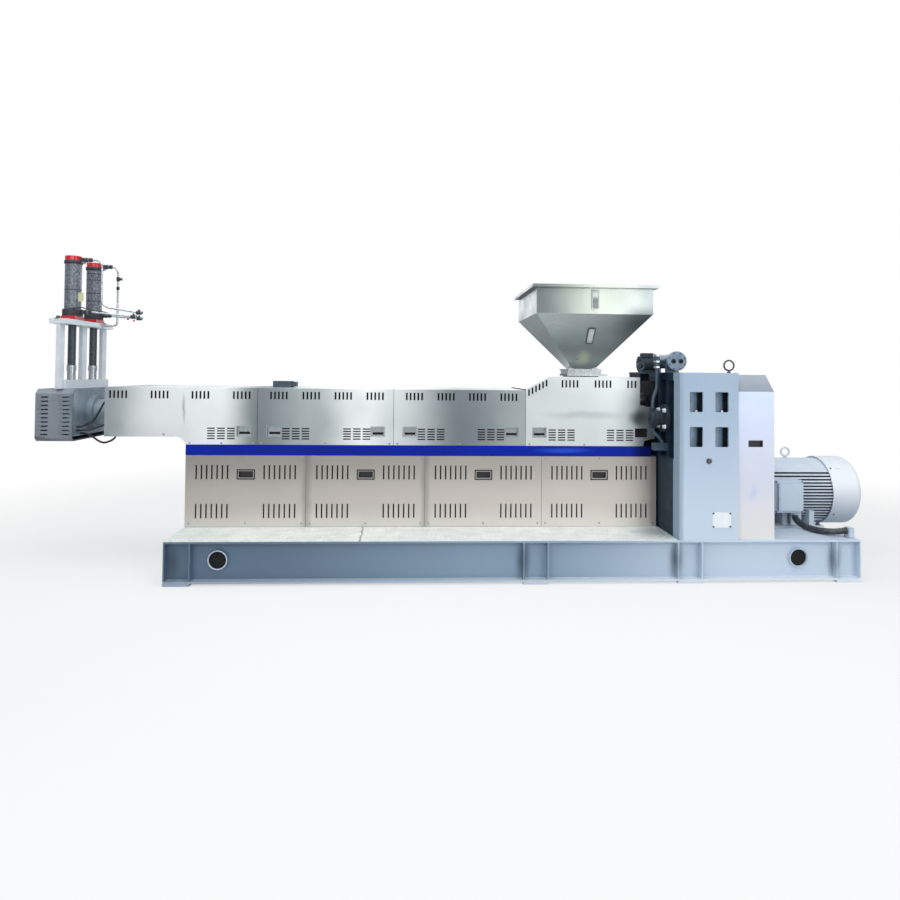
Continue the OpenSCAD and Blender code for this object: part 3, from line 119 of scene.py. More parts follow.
floorMesh = bpy.data.meshes.new("studioFloor")
floorMesh.from_pydata([(-60, -60, 0), (60, -60, 0), (60, 60, 0), (-60, 60, 0)], [], [(0, 1, 2, 3)])
floor = bpy.data.objects.new("studioFloor", floorMesh)
scene.collection.objects.link(floor)
floorFinish = bpy.data.materials.new("paleStudioFloor")
floorFinish.use_nodes = True
ground = floorFinish.node_tree
ground.nodes.clear()
floorRays = addNode(ground, "ShaderNodeLightPath")
floorPlace = addNode(ground, "ShaderNodeTexCoord")
floorFar = addNode(ground, "ShaderNodeVectorMath", {0: floorPlace.outputs["Object"]}, operation="LENGTH")
floorFade = addNode(ground, "ShaderNodeMapRange", {0: floorFar.outputs["Value"], 1: studio["fadeFrom"], 2: studio["fadeTo"]},
    interpolation_type="SMOOTHSTEP")
floorMatte = addNode(ground, "ShaderNodeBsdfDiffuse", {"Color": toLinear(studio["floor"])})
floorWhite = addNode(ground, "ShaderNodeEmission", {"Color": (1, 1, 1, 1), "Strength": 1.0})
floorLift = addNode(ground, "ShaderNodeMapRange", {0: floorFade.outputs[0], 3: 0.62, 4: 1.0})
floorShown = addNode(ground, "ShaderNodeMixShader", {0: floorLift.outputs[0], 1: floorMatte.outputs[0], 2: floorWhite.outputs[0]})
floorPale = addNode(ground, "ShaderNodeMixShader", {0: floorRays.outputs["Is Camera Ray"], 1: floorMatte.outputs[0],
    2: floorShown.outputs[0]})
addNode(ground, "ShaderNodeOutputMaterial", {0: floorPale.outputs[0]})
floorMesh.materials.append(floorFinish)
print("camera, lamps and floor placed")


# A finish: two tones in soft patches, tones that run along an axis, soft spots, specks, grain and waves; most finishes
# use the runs and spots for painted light, shade and reflections. Distances in m, grain in mm.
def makeFinish(name, looks):
    material = bpy.data.materials.new(name)
    material.use_nodes = True
    tree = material.node_tree
    tree.nodes.clear()
    place = addNode(tree, "ShaderNodeTexCoord").outputs["Object"]
    patches = addNode(tree, "ShaderNodeTexNoise", {"Vector": place, "Scale": 1000 / looks.get("patchMm", 260), "Detail": 2.0,
        "Roughness": 0.5})
    centred = addNode(tree, "ShaderNodeVectorMath", {0: patches.outputs["Color"], 1: (0.5, 0.5, 0.5)}, operation="SUBTRACT").outputs[0]
    pushed = addNode(tree, "ShaderNodeVectorMath", {0: centred, "Scale": looks.get("wander", 0.06)}, operation="SCALE").outputs[0]
    wavy = addNode(tree, "ShaderNodeVectorMath", {0: place, 1: pushed}).outputs[0]  # the place, pushed about so that edges waver
    axes = addNode(tree, "ShaderNodeSeparateXYZ", {0: wavy})
    plain = addNode(tree, "ShaderNodeSeparateXYZ", {0: place})
    patchShare = addNode(tree, "ShaderNodeMapRange", {0: patches.outputs[0], 1: 0.36, 2: 0.66})
    colour = addNode(tree, "ShaderNodeMix", {0: patchShare.outputs[0], 6: toLinear(looks["base"]), 7: toLinear(looks["shade"])},
        data_type="RGBA").outputs[2]
    for axis, low, high, stops, share, *between in looks.get("runs", []):  # tones along an axis, kept between two limits of another
        along = addNode(tree, "ShaderNodeMapRange", {0: axes.outputs[axis], 1: low, 2: high})
        tones = addNode(tree, "ShaderNodeValToRGB", {0: along.outputs[0]}, stops)
        tones.color_ramp.interpolation = "EASE"
        amount = share
        if between:
            limitAxis, start, stop, soft = between[0]
            rise = addNode(tree, "ShaderNodeMapRange", {0: plain.outputs[limitAxis], 1: start, 2: start + soft, 4: share})
            fall = addNode(tree, "ShaderNodeMapRange", {0: plain.outputs[limitAxis], 1: stop - soft, 2: stop, 3: 1.0, 4: 0.0})
            amount = addNode(tree, "ShaderNodeMath", {0: rise.outputs[0], 1: fall.outputs[0]}, operation="MULTIPLY").outputs[0]
        colour = addNode(tree, "ShaderNodeMix", {0: amount, 6: colour, 7: tones.outputs[0]}, data_type="RGBA").outputs[2]
    for centre, half, tone, share in looks.get("spots", []):  # soft spots of another tone; a half size of 0 leaves that axis out
        scale = [1 / h if h else 0 for h in half]
        near = addNode(tree, "ShaderNodeMapping", {"Vector": wavy, "Location": [-c * k for c, k in zip(centre, scale)], "Scale": scale})
        far = addNode(tree, "ShaderNodeVectorMath", {0: near.outputs[0]}, operation="LENGTH")
        amount = addNode(tree, "ShaderNodeMapRange", {0: far.outputs["Value"], 1: 1.0, 2: 0.1, 4: share}, interpolation_type="SMOOTHSTEP")
        colour = addNode(tree, "ShaderNodeMix", {0: amount.outputs[0], 6: colour, 7: toLinear(tone)}, data_type="RGBA").outputs[2]
    stretched = addNode(tree, "ShaderNodeMapping", {"Vector": place, "Scale": looks.get("grainRun", (1, 1, 1))}).outputs[0]
    grain = addNode(tree, "ShaderNodeTexNoise", {"Vector": stretched, "Scale": 1000 / looks.get("grainMm", 4), "Detail": 4.0,
        "Roughness": 0.6})
    # specks of a second tone: dirt on most finishes, painted glints on the stretch film and on the film over the rods
    dirtAndGlint = addNode(tree, "ShaderNodeMapRange", {0: grain.outputs[0], 1: 0.3, 2: 0.7, 3: 0.0, 4: looks.get("speck", 0.1)})
    colour = addNode(tree, "ShaderNodeMix", {0: dirtAndGlint.outputs[0], 6: colour, 7: toLinear(looks.get("dirtAndGlint", "#5d5f60"))},
        data_type="RGBA").outputs[2]
    rough, span = looks["rough"], looks.get("roughSpan", 0.05)
    uneven = addNode(tree, "ShaderNodeMapRange", {0: patches.outputs[0], 1: 0.3, 2: 0.7, 3: rough - span, 4: rough + span})
    normal = addNode(tree, "ShaderNodeBump", {"Height": grain.outputs[0], "Strength": looks.get("grainBump", 0.1),
        "Distance": looks.get("grainDepth", 0.0006)}).outputs[0]
    if looks.get("waveMm"):
        waves = addNode(tree, "ShaderNodeTexNoise", {"Vector": place, "Scale": 1000 / looks["waveMm"], "Detail": 1.0})
        normal = addNode(tree, "ShaderNodeBump", {"Height": waves.outputs[0], "Strength": looks.get("waveBump", 0.15),
            "Distance": looks.get("waveDepth", 0.01), "Normal": normal}).outputs[0]
    shader = addNode(tree, "ShaderNodeBsdfPrincipled", {"Base Color": colour, "Roughness": uneven.outputs[0], "Normal": normal,
        "Metallic": looks.get("metallic", 0.0)})
    shader.inputs["Specular IOR Level"].default_value = looks.get("specular", 0.5)
    if looks.get("coat"):
        shader.inputs["Coat Weight"].default_value = looks["coat"]
        shader.inputs["Coat Roughness"].default_value = looks.get("coatRough", 0.1)
    addNode(tree, "ShaderNodeOutputMaterial", {0: shader.outputs[0]})
    return material


# What every sheet of the covers shares: satin stainless with long rolling marks and slow dents
coverSheet = {"base": "#cdd6d7", "shade": "#bec9cc", "rough": 0.34, "metallic": 0.6, "patchMm": 240, "grainMm": 1.2,
    "grainRun": (14, 1, 1), "speck": 0.05,
              "grainBump": 0.04, "waveMm": 430, "waveBump": 0.12, "wander": 0.08}
# Tones painted on the sheet steel as reflections: what a satin sheet mirrors, from the dark floor to a lamp, cold and
# warm
steel = {"deep": "#727b7e", "mid": "#a8b0b1", "pale": "#dce1e0", "bright": "#f8faf8"}
warmSteel = {"deep": "#7a7874", "mid": "#aaa59e", "pale": "#d5ccc4", "bright": "#f1eee8"}
finishes = {
    # sprayed two-pack enamel on structural steel: grey blue, with painted shade darkening it towards the nose, a
    # painted highlight making the foot flange pale, and painted shade beside each stiffener
    "sprayedBaseEnamel": {"base": "#a9bccd", "shade": "#9db1c3", "rough": 0.4, "patchMm": 420, "grainMm": 3, "speck": 0.05,
                          "runs": [(0, -2.6, 2.6, [(0.1, "#50687f"), (0.5, "#8299ae"), (0.85, "#c9d9e8")], 0.9),
                                   (0, -2.6, 2.6, [(0, "#a3b2c1"), (1, "#e0e8f0")], 0.85, (2, -0.01, 0.036, 0.004))],
                          "spots": [((x, -0.7, 0.16), (0.08, 0.3, 0.2), "#30424f", 0.8) for x in (-2.53, 0.03, 1.19, 2.41)]},
    # hot rolled chequer plate: bright, pale and blotchy, with a narrow dark band across it and a darker patch on the
    # front walkway near the drive end
    "brightChequerPlate": {"base": "#eef2f0", "shade": "#dfe5e3", "rough": 0.42, "metallic": 0.3, "patchMm": 120, "grainMm": 18,
        "speck": 0.3, "dirtAndGlint": "#9aa4a6", "grainBump": 0.3,
                           "spots": [((-1.185, 0, 0.32), (0.012, 0, 0), "#5d6a70", 0.8),
                               ((1.1, -0.6, 0.32), (0.25, 0.3, 0), "#8a969b", 0.7)]},
    # brush-coated frame paint: matt slate
    "slateFramePaint": {"base": "#5f6e79", "shade": "#55636e", "rough": 0.55, "grainMm": 3},
    # cold rolled stainless sheet with a satin face: painted reflections make it warmer and paler towards the feed end,
    # bright near the walkway that it mirrors and darker higher up, with painted shade at the joints
    "satinStainlessPanel": {"base": "#d4ccc5", "shade": "#c1bab6", "rough": 0.36, "metallic": 0.55, "patchMm": 300,
        "grainMm": 1.2, "grainRun": (1, 1, 14), "speck": 0.05,
                            "grainBump": 0.04, "waveMm": 520, "waveBump": 0.12, "wander": 0.07,
                            "runs": [(0, -2.58, 1.168, [(0, warmSteel["mid"]), (1, warmSteel["pale"])], 0.9),
                                     (2, 0.33, 0.88, [(0, warmSteel["bright"]), (0.35, warmSteel["pale"]), (1, warmSteel["deep"])], 0.4)],
                            "spots": [((x, 0, 0), (0.05, 0, 0), warmSteel["deep"], 0.45) for x in (-1.643, -0.706, 1.15)]},
    # stainless covers: painted reflections roll each one through a few of the shared tones along its length; their
    # spots are painted reflections too, dark beside a seam near the nose, a pale band and a dark patch on the feed
    # cover
    "noseCoverStainless": {**coverSheet,
                           "runs": [(0, -3.205, -2.03, [(0, steel["mid"]), (0.35, steel["bright"]), (0.75, steel["bright"]),
                               (1, steel["deep"])], 0.9)],
                           "spots": [((-2.6, -0.4, 1.24), (0.018, 0, 0.16), steel["deep"], 0.5)]},
    "firstCoverStainless": {**coverSheet,
                            "runs": [(0, -2.03, -0.96, [(0, steel["deep"]), (0.4, steel["mid"]), (0.8, steel["bright"]),
                                (1, steel["pale"])], 0.9)]},
    "secondCoverStainless": {**coverSheet,
                             "runs": [(0, -0.96, 0.1, [(0, steel["pale"]), (0.5, steel["deep"]), (1, steel["mid"])], 0.9)]},
    "feedCoverStainless": {**coverSheet,
                           "runs": [(0, 0.1, 1.16, [(0, steel["pale"]), (0.65, steel["pale"]), (1, steel["deep"])], 0.9)],
                           "spots": [((0.6, -0.4, 1.22), (0.5, 0, 0.05), steel["mid"], 0.5),
                               ((1.03, -0.4, 1.19), (0.11, 0, 0.085), "#3a4548", 0.8)]},
    # folded stainless hopper sheet, tinted a little green as a painted reflection of the room, with painted reflections
    # along its walls; the taper carries a painted reflection of the dark floor, a painted dark patch near the drive end
    # and a painted highlight
    "hopperStainless": {"base": "#c3cac4", "shade": "#b3bab4", "rough": 0.32, "metallic": 0.6, "patchMm": 200, "grainMm": 1.2,
        "grainRun": (1, 1, 14), "speck": 0.04,
                        "grainBump": 0.03, "waveMm": 300, "waveBump": 0.12, "wander": 0.06,
                        "runs": [(0, 0.17, 1.116, [(0, steel["deep"]), (0.55, "#d0d9cb"), (1, steel["mid"])], 0.9,
                            (2, 2.031, 2.3, 0.002)),
                                 (2, 1.59, 2.031, [(0, steel["mid"]), (0.4, steel["deep"]), (1, steel["mid"])], 0.9,
                                 (2, 1.5, 2.031, 0.001))],
                        "spots": [((1.06, -0.4, 1.97), (0.3, 0.4, 0.17), "#4a5257", 0.8),
                            ((0.62, -0.2, 1.67), (0.09, 0.3, 0.09), "#c6cdb0", 0.7)]},
    # turned and milled steel: cool grey with fine tool marks
    "machinedSteel": {"base": "#c3c7ca", "shade": "#aab0b4", "rough": 0.28, "metallic": 1.0, "patchMm": 60, "grainMm": 0.8,
        "grainRun": (1, 1, 8), "speck": 0.08},
    # milled changer body, oiled and dull, with a pale patch of painted highlight on its side
    "oiledMilledSteel": {"base": "#93a2ac", "shade": "#83919b", "rough": 0.42, "metallic": 0.5, "patchMm": 120, "grainMm": 1.5,
        "grainRun": (1, 8, 1), "speck": 0.1,
                         "spots": [((-3.47, -0.35, 1.3), (0.1, 0.2, 0.12), "#b9c6cf", 0.7)]},
    # mica heater band steel: dull, heat-tinted
    "heatTintedSteel": {"base": "#a49c8f", "shade": "#8d8a88", "rough": 0.42, "metallic": 1.0, "patchMm": 70, "grainMm": 2},
    # gloss enamel on the band along the cabinet: deep blue, with a lighter painted reflection of the feed end's lamps
    # and painted shade at its drive end
    "glossBlueEnamel": {"base": "#00219a", "shade": "#001a86", "rough": 0.4, "specular": 0.15, "patchMm": 700, "grainMm": 4,
        "speck": 0.02, "dirtAndGlint": "#00104a", "grainBump": 0.03,
                        "spots": [((0.4, -0.4, 0.93), (0.3, 0, 0.03), "#2a55cc", 0.7),
                            ((1.08, -0.4, 0.93), (0.14, 0, 0), "#000a50", 0.9)]},
    # injection moulded ABS: black, fine spark texture
    "mouldedBlackPlastic": {"base": "#17191d", "shade": "#20232a", "rough": 0.42, "patchMm": 40, "grainMm": 1.0, "speck": 0.1,
        "dirtAndGlint": "#3a3e45", "grainBump": 0.2},
    # ribbed conduit skin: black plastic given dark grey tones, with lighter patches as painted highlight, and dark
    # specks
    "ribbedConduitPlastic": {"base": "#3a4048", "shade": "#565e68", "rough": 0.32, "coat": 0.3, "patchMm": 40, "grainMm": 5,
        "speck": 0.3, "dirtAndGlint": "#15181c"},
    # braided black sleeve on the heater leads: soft sheen
    "braidedBlackSleeve": {"base": "#101317", "shade": "#1d2127", "rough": 0.6, "patchMm": 12, "grainMm": 2.2, "speck": 0.3,
        "dirtAndGlint": "#3f454d", "grainBump": 0.5},
    # hammer-finish guard paint: mid grey with a blue cast, with painted shade in a narrow band near its drive-side edge
    # and low across its face
    "guardHammerPaint": {"base": "#858d97", "shade": "#7c848e", "rough": 0.44, "patchMm": 160, "grainMm": 5, "speck": 0.06,
        "grainBump": 0.03,
                         "spots": [((-3.445, -0.4, 1.2), (0.04, 0, 0), "#656f79", 0.8),
                             ((-3.7, -0.3, 1.0), (0.3, 0, 0.03), "#3f474f", 0.7)]},
    # white stove enamel on the frame
    "whiteStoveEnamel": {"base": "#d8dfe6", "shade": "#cdd5dd", "rough": 0.38, "patchMm": 120, "grainMm": 3, "speck": 0.06,
        "dirtAndGlint": "#8f979f"},
    # glossy red enamel on the cylinder ends
    "glossRedEnamel": {"base": "#d2141f", "shade": "#b30d18", "rough": 0.3, "coat": 0.35, "patchMm": 60, "grainMm": 3,
        "speck": 0.08, "dirtAndGlint": "#5c0a10"},
    # stretch film over grey paint: creased, with bright specks as painted glints where it catches the light
    "creasedStretchFilm": {"base": "#323a47", "shade": "#1c222d", "rough": 0.3, "coat": 0.3, "patchMm": 22, "grainMm": 11,
        "grainRun": (1, 1, 0.7), "speck": 0.6, "dirtAndGlint": "#a4adba", "roughSpan": 0.12, "grainBump": 0.9, "grainDepth": 0.004},
    # same film on the black rods, with fewer bright specks as painted glints
    "filmOnBlackRod": {"base": "#0f1a26", "shade": "#17212d", "rough": 0.3, "coat": 0.3, "patchMm": 30, "grainMm": 10,
        "speck": 0.25, "dirtAndGlint": "#77828f", "grainBump": 0.8, "grainDepth": 0.003},
    # black cloth tape
    "blackClothTape": {"base": "#15181e", "shade": "#262b34", "rough": 0.55, "patchMm": 20, "grainMm": 3, "speck": 0.3,
        "dirtAndGlint": "#4c5460", "grainBump": 0.4},
    # machine enamel on the gearbox face plates: light grey blue, with painted light making it paler towards the floor,
    # and a painted shade strip at its nose-side edge
    "gearPlateEnamel": {"base": "#b2c4d6", "shade": "#a8bbce", "rough": 0.42, "patchMm": 500, "grainMm": 3, "speck": 0.03,
                        "runs": [(2, 0.3, 1.566, [(0, "#c4d4e4"), (1, "#98adc2")], 0.9)],
                        "spots": [((1.19, -0.85, 0.9), (0.04, 0, 0), "#8799a8", 0.7)]},
    # rough casting behind the plates, its colour darkened as painted deep shade, a little lighter on its lower part,
    # with painted light making it pale inside the windows and fading to dark towards the drive end
    "castingEnamel": {"base": "#162a3a", "shade": "#0d1b29", "rough": 0.6, "specular": 0.2, "patchMm": 120, "grainMm": 6,
        "speck": 0.15, "dirtAndGlint": "#0c1318", "grainBump": 0.4, "grainDepth": 0.001,
                      "runs": [(2, 0.3, 0.95, [(0, "#2a3943"), (1, "#353f48")], 0.7, (2, 0.2, 0.92, 0.04)),
                               (0, 1.26, 1.37, [(0, "#93a9bb"), (0.45, "#64798a"), (1, "#1f2b35")], 0.9, (1, -0.86, -0.72, 0.005)),
                               (0, 1.456, 1.566, [(0, "#93a9bb"), (0.45, "#64798a"), (1, "#1f2b35")], 0.9, (0, 1.41, 1.7, 0.005))]},
    # sand cast iron painted dark for pump and small fittings
    "darkCastPaint": {"base": "#12212e", "shade": "#0c1620", "rough": 0.5, "specular": 0.25, "patchMm": 40, "grainMm": 4,
        "speck": 0.25, "dirtAndGlint": "#6b7b87", "grainBump": 0.4, "grainDepth": 0.001},
    # same paint, in lighter copies as painted light: a grey blue on the cooler, a slate blue on the box on the covers,
    # the pipes and the eyes
    "greyBluePaint": {"base": "#8299ad", "shade": "#66809a", "rough": 0.4, "patchMm": 60, "grainMm": 3, "speck": 0.1,
        "dirtAndGlint": "#3d4b57", "grainBump": 0.3},
    "slateBluePaint": {"base": "#344959", "shade": "#273845", "rough": 0.42, "patchMm": 60, "grainMm": 3, "speck": 0.12,
        "dirtAndGlint": "#7b8c9a", "grainBump": 0.3},
    # pale motor enamel on cast iron, with painted shade over its lower body, a painted highlight high towards the fan
    # end and painted shade low towards the fan end
    "motorEnamel": {"base": "#d2dde8", "shade": "#c8d4e1", "rough": 0.42, "patchMm": 180, "grainMm": 4, "speck": 0.08,
        "dirtAndGlint": "#7d8994", "grainBump": 0.25,
                    "spots": [((2.3, 0, 0.46), (0.6, 0.6, 0.26), "#aab8c7", 0.35),
                        ((2.85, -0.28, 0.68), (0.3, 0.2, 0.09), "#f6f8fb", 0.8), ((2.85, -0.25, 0.4), (0.3, 0.3, 0.12), "#a9b8c8", 0.5)]},
    # same enamel on the sheet metal cowl, with a painted bright reflection and painted shade low down, and on the box,
    # with painted shade along its nose-side edge
    "fanCowlEnamel": {"base": "#ccd8e4", "shade": "#c3d0dd", "rough": 0.4, "patchMm": 220, "grainMm": 4, "speck": 0.06,
        "dirtAndGlint": "#8d99a5", "grainBump": 0.15,
                      "runs": [(2, 0.27, 0.85, [(0, "#a4b4c5"), (0.7, "#f0f4f9"), (1, "#dfe6ee")], 0.9)]},
    "terminalBoxEnamel": {"base": "#c3d2e1", "shade": "#bccbdb", "rough": 0.42, "patchMm": 160, "grainMm": 3, "speck": 0.05,
        "dirtAndGlint": "#8d99a5",
                          "spots": [((2.17, -0.35, 0.55), (0.03, 0, 0), "#8fa0b0", 0.8)]},
    # unlit paint between the cooling fins
    "shadowedMotorPaint": {"base": "#1b2027", "shade": "#262d36", "rough": 0.7, "patchMm": 60, "grainMm": 4},
    # brushed stainless on the coupling guard, tinted lavender by painted reflections: warm and pale towards the floor,
    # bluer higher up, a painted bluish reflection low on its face, and its bevel in painted shade
    "guardStainless": {"base": "#d5daec", "shade": "#c9cde0", "rough": 0.38, "metallic": 0.4, "patchMm": 160, "grainMm": 1.2,
        "grainRun": (1, 1, 14), "speck": 0.04, "grainBump": 0.04, "wander": 0.1,
                       "runs": [(2, 0.316, 1.42, [(0, "#ece8e4"), (0.45, "#d8dcea"), (1, "#c8d4f0")], 0.9),
                                (2, 1.4, 1.56, [(0, "#86909c"), (1, "#9aa4ae")], 0.95, (2, 1.424, 1.6, 0.003))],
                       "spots": [((1.76, -0.8, 0.66), (0.04, 0, 0.1), "#b4c4f0", 0.4)]},
    # gauge glass, painted as seen through: dark against the inside, with pale painted light where each glass shows the
    # light behind it
    "gaugeGlass": {"base": "#6d7a76", "shade": "#8c9893", "rough": 0.12, "coat": 0.6, "coatRough": 0.05, "patchMm": 70,
        "grainMm": 10, "speck": 0.1,
                   "spots": [((0.643, -0.48, 2.19), (0.1, 0, 0.05), "#dfeae2", 0.9),
                       ((0.643, -0.37, 1.88), (0.1, 0, 0.12), "#cdd3cf", 0.9)]},
    # enamelled blank plate
    "blankPlateEnamel": {"base": "#eef1f5", "shade": "#e3e8ee", "rough": 0.35, "patchMm": 60, "grainMm": 2, "speck": 0.03},
    # yellowed blank tag
    "yellowedTag": {"base": "#d9d8b0", "shade": "#c5c596", "rough": 0.5, "patchMm": 20, "grainMm": 3, "speck": 0.1},
    # zinc plated screws, unions and rims
    "zincPlatedSteel": {"base": "#c2c7c8", "shade": "#a5acae", "rough": 0.3, "metallic": 0.8, "patchMm": 20, "grainMm": 1, "speck": 0.12},
    # painted shade: a darker copy of the screw steel, for screw heads in shade
    "shadedScrewSteel": {"base": "#6a6d6e", "shade": "#55585a", "rough": 0.4, "metallic": 0.7, "patchMm": 20, "grainMm": 1},
    # painted shade: black for the unlit hollow behind a hole, slot, socket, pull or port
    "shadeBlack": {"base": "#050607", "shade": "#0b0d0f", "rough": 0.9, "patchMm": 60, "grainMm": 4, "speck": 0.1, "dirtAndGlint": "#15181b"},
}
made = {name: makeFinish(name, looks) for name, looks in finishes.items()}
print("finishes made:", len(made))

nodeFinish = {
    "fanCowlEnamel": ["fan_cowl"],
    "terminalBoxEnamel": ["terminal_box"],
    "sprayedBaseEnamel": ["base_front_beam", "base_rear_beam", "base_cross_members", "foot_plates", "drive_deck", "motor_bed"],
    "brightChequerPlate": ["walkway_front", "walkway_rear"],
    "slateFramePaint": ["cabinet_frame", "barrel_supports"],
    "satinStainlessPanel": ["front_lower_panels", "rear_lower_panels", "cabinet_end_panels"],
    "noseCoverStainless": ["nose_cover", "zone_1_cover"],
    "firstCoverStainless": ["zone_2_cover"],
    "secondCoverStainless": ["zone_3_cover"],
    "feedCoverStainless": ["feed_cover"],
    "zincPlatedSteel": ["cover_pulls", "hydraulic_lines", "hopper_flange"],
    "hopperStainless": ["hopper_body", "hopper_rim"],
    "machinedSteel": ["barrel", "output_flange", "front_screen_column", "rear_screen_column"],
    "oiledMilledSteel": ["melt_adapter", "changer_body"],
    "heatTintedSteel": ["heater_bands"],
    "glossBlueEnamel": ["blue_band"],
    "mouldedBlackPlastic": ["lower_panel_pulls", "motor_conduit"],
    "braidedBlackSleeve": ["heater_leads"],
    "guardHammerPaint": ["changer_guard"],
    "whiteStoveEnamel": ["changer_frame", "frame_top_plate"],
    "glossRedEnamel": ["cylinder_caps", "cylinder_flanges"],
    "creasedStretchFilm": ["hydraulic_cylinders"],
    "filmOnBlackRod": ["front_piston_rod", "rear_piston_rod"],
    "gearPlateEnamel": ["gearbox_front_plate", "gearbox_rear_plate"],
    "castingEnamel": ["feed_housing", "gearbox_housing"],
    "darkCastPaint": ["oil_pump", "pump_shelf", "lube_motor"],
    "greyBluePaint": ["oil_cooler"],
    "slateBluePaint": ["oil_pipes", "lifting_eyes", "junction_box"],
    "motorEnamel": ["motor_frame"],
    "guardStainless": ["coupling_guard"],
    "gaugeGlass": ["sight_glasses"],
}
for finishName, members in nodeFinish.items():
    for member in members:
        slots = nodes[member].data.materials
        slots.clear()
        slots.append(made[finishName])
print("CAD nodes finished:", sum(len(m) for m in nodeFinish.values()))


def settle(piece, body="machine"):  # a finished piece rides on its body
    scene.collection.objects.link(piece)
    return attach(piece, body)


def newTree(name, sizes):  # empty Geometry Nodes tree with named inputs
    tree = bpy.data.node_groups.new(name, "GeometryNodeTree")
    tree.interface.new_socket(name="Geometry", in_out="INPUT", socket_type="NodeSocketGeometry")
    for label, (kind, value) in sizes.items():
        socket = tree.interface.new_socket(name=label, in_out="INPUT", socket_type=kind)
        if value is not None:
            socket.default_value = value
    tree.interface.new_socket(name="Geometry", in_out="OUTPUT", socket_type="NodeSocketGeometry")
    return tree, addNode(tree, "NodeGroupInput").outputs


def grow(name, mesh, tree, values, body="machine"):  # runs a tree on a mesh and keeps the plain result
    source = bpy.data.objects.new(name + "Source", mesh)
    scene.collection.objects.link(source)
    modifier = source.modifiers.new("grow", "NODES")
    modifier.node_group = tree
    for item in tree.interface.items_tree:
        if item.item_type == "SOCKET" and item.in_out == "INPUT" and item.name in values:
            modifier[item.identifier] = values[item.name]
    ready = source.evaluated_get(bpy.context.evaluated_depsgraph_get())
    piece = bpy.data.objects.new(name, bpy.data.meshes.new_from_object(ready))
    source.modifiers.clear()
    bpy.data.objects.remove(source)
    print(name + ":", len(piece.data.polygons), "faces")
    return settle(piece, body)


def spotMesh(name, spots):  # one point per spot, with the way its piece faces
    mesh = bpy.data.meshes.new(name)
    mesh.from_pydata([s[0] for s in spots], [], [])
    facing = mesh.attributes.new("facing", "FLOAT_VECTOR", "POINT")
    facing.data.foreach_set("vector", [c for s in spots for c in s[1]])
    return mesh


# Screw and bolt heads: a head on a washer with a dark disc in its socket as painted shade, one at each spot
headTree, headIn = newTree("fastenerHeads", {
    "Head Radius": ("NodeSocketFloat", 0.006), "Head Height": ("NodeSocketFloat", 0.004), "Taper": ("NodeSocketFloat", 0.8),
    "Sides": ("NodeSocketInt", 12), "Washer Radius": ("NodeSocketFloat", 0.008), "Socket Share": ("NodeSocketFloat", 0.4),
    "Metal": ("NodeSocketMaterial", None), "Hollow": ("NodeSocketMaterial", None)})
topRadius = addNode(headTree, "ShaderNodeMath", {0: headIn["Head Radius"], 1: headIn["Taper"]}, operation="MULTIPLY").outputs[0]
headBody = addNode(headTree, "GeometryNodeMeshCone", {"Vertices": headIn["Sides"], "Radius Bottom": headIn["Head Radius"],
    "Radius Top": topRadius, "Depth": headIn["Head Height"]}).outputs[0]
washerDepth = addNode(headTree, "ShaderNodeMath", {0: headIn["Head Height"], 1: 0.3}, operation="MULTIPLY").outputs[0]
washer = addNode(headTree, "GeometryNodeMeshCylinder", {"Vertices": 16, "Radius": headIn["Washer Radius"],
    "Depth": washerDepth}).outputs[0]
socketRadius = addNode(headTree, "ShaderNodeMath", {0: headIn["Head Radius"], 1: headIn["Socket Share"]}, operation="MULTIPLY").outputs[0]
hollow = addNode(headTree, "GeometryNodeMeshCylinder", {"Vertices": 6, "Radius": socketRadius, "Depth": washerDepth}).outputs[0]
aboveTop = addNode(headTree, "ShaderNodeMath", {0: headIn["Head Height"], 1: 0.9}, operation="MULTIPLY").outputs[0]
hollowUp = addNode(headTree, "GeometryNodeTransform", {"Geometry": hollow,
    "Translation": addNode(headTree, "ShaderNodeCombineXYZ", {2: aboveTop}).outputs[0]}).outputs[0]
hollowMarked = addNode(headTree, "GeometryNodeStoreNamedAttribute", {"Geometry": hollowUp, "Name": "hollow", "Value": True},
    data_type="BOOLEAN", domain="FACE").outputs[0]
oneHead = addNode(headTree, "GeometryNodeJoinGeometry")
for part in (washer, headBody, hollowMarked):
    headTree.links.new(part, oneHead.inputs[0])
facing = addNode(headTree, "GeometryNodeInputNamedAttribute", {"Name": "facing"}, data_type="FLOAT_VECTOR").outputs[0]
turned = addNode(headTree, "FunctionNodeAlignRotationToVector", {"Vector": facing}, axis="Z").outputs[0]
spread = addNode(headTree, "GeometryNodeInstanceOnPoints", {"Points": headIn["Geometry"], "Instance": oneHead.outputs[0],
    "Rotation": turned}).outputs[0]
solid = addNode(headTree, "GeometryNodeRealizeInstances", {"Geometry": spread}).outputs[0]
metalSet = addNode(headTree, "GeometryNodeSetMaterial", {"Geometry": solid, "Material": headIn["Metal"]}).outputs[0]
isHollow = addNode(headTree, "GeometryNodeInputNamedAttribute", {"Name": "hollow"}, data_type="BOOLEAN").outputs[0]
hollowSet = addNode(headTree, "GeometryNodeSetMaterial", {"Geometry": metalSet, "Selection": isHollow,
    "Material": headIn["Hollow"]}).outputs[0]
addNode(headTree, "NodeGroupOutput", {0: hollowSet})

front, rear, upward, drive, noseward = (0, -1, 0), (0, 1, 0), (0, 0, 1), (1, 0, 0), (-1, 0, 0)


def screwRow(xs, y, zs, way):
    return [((x, y, z), way) for x in xs for z in zs]


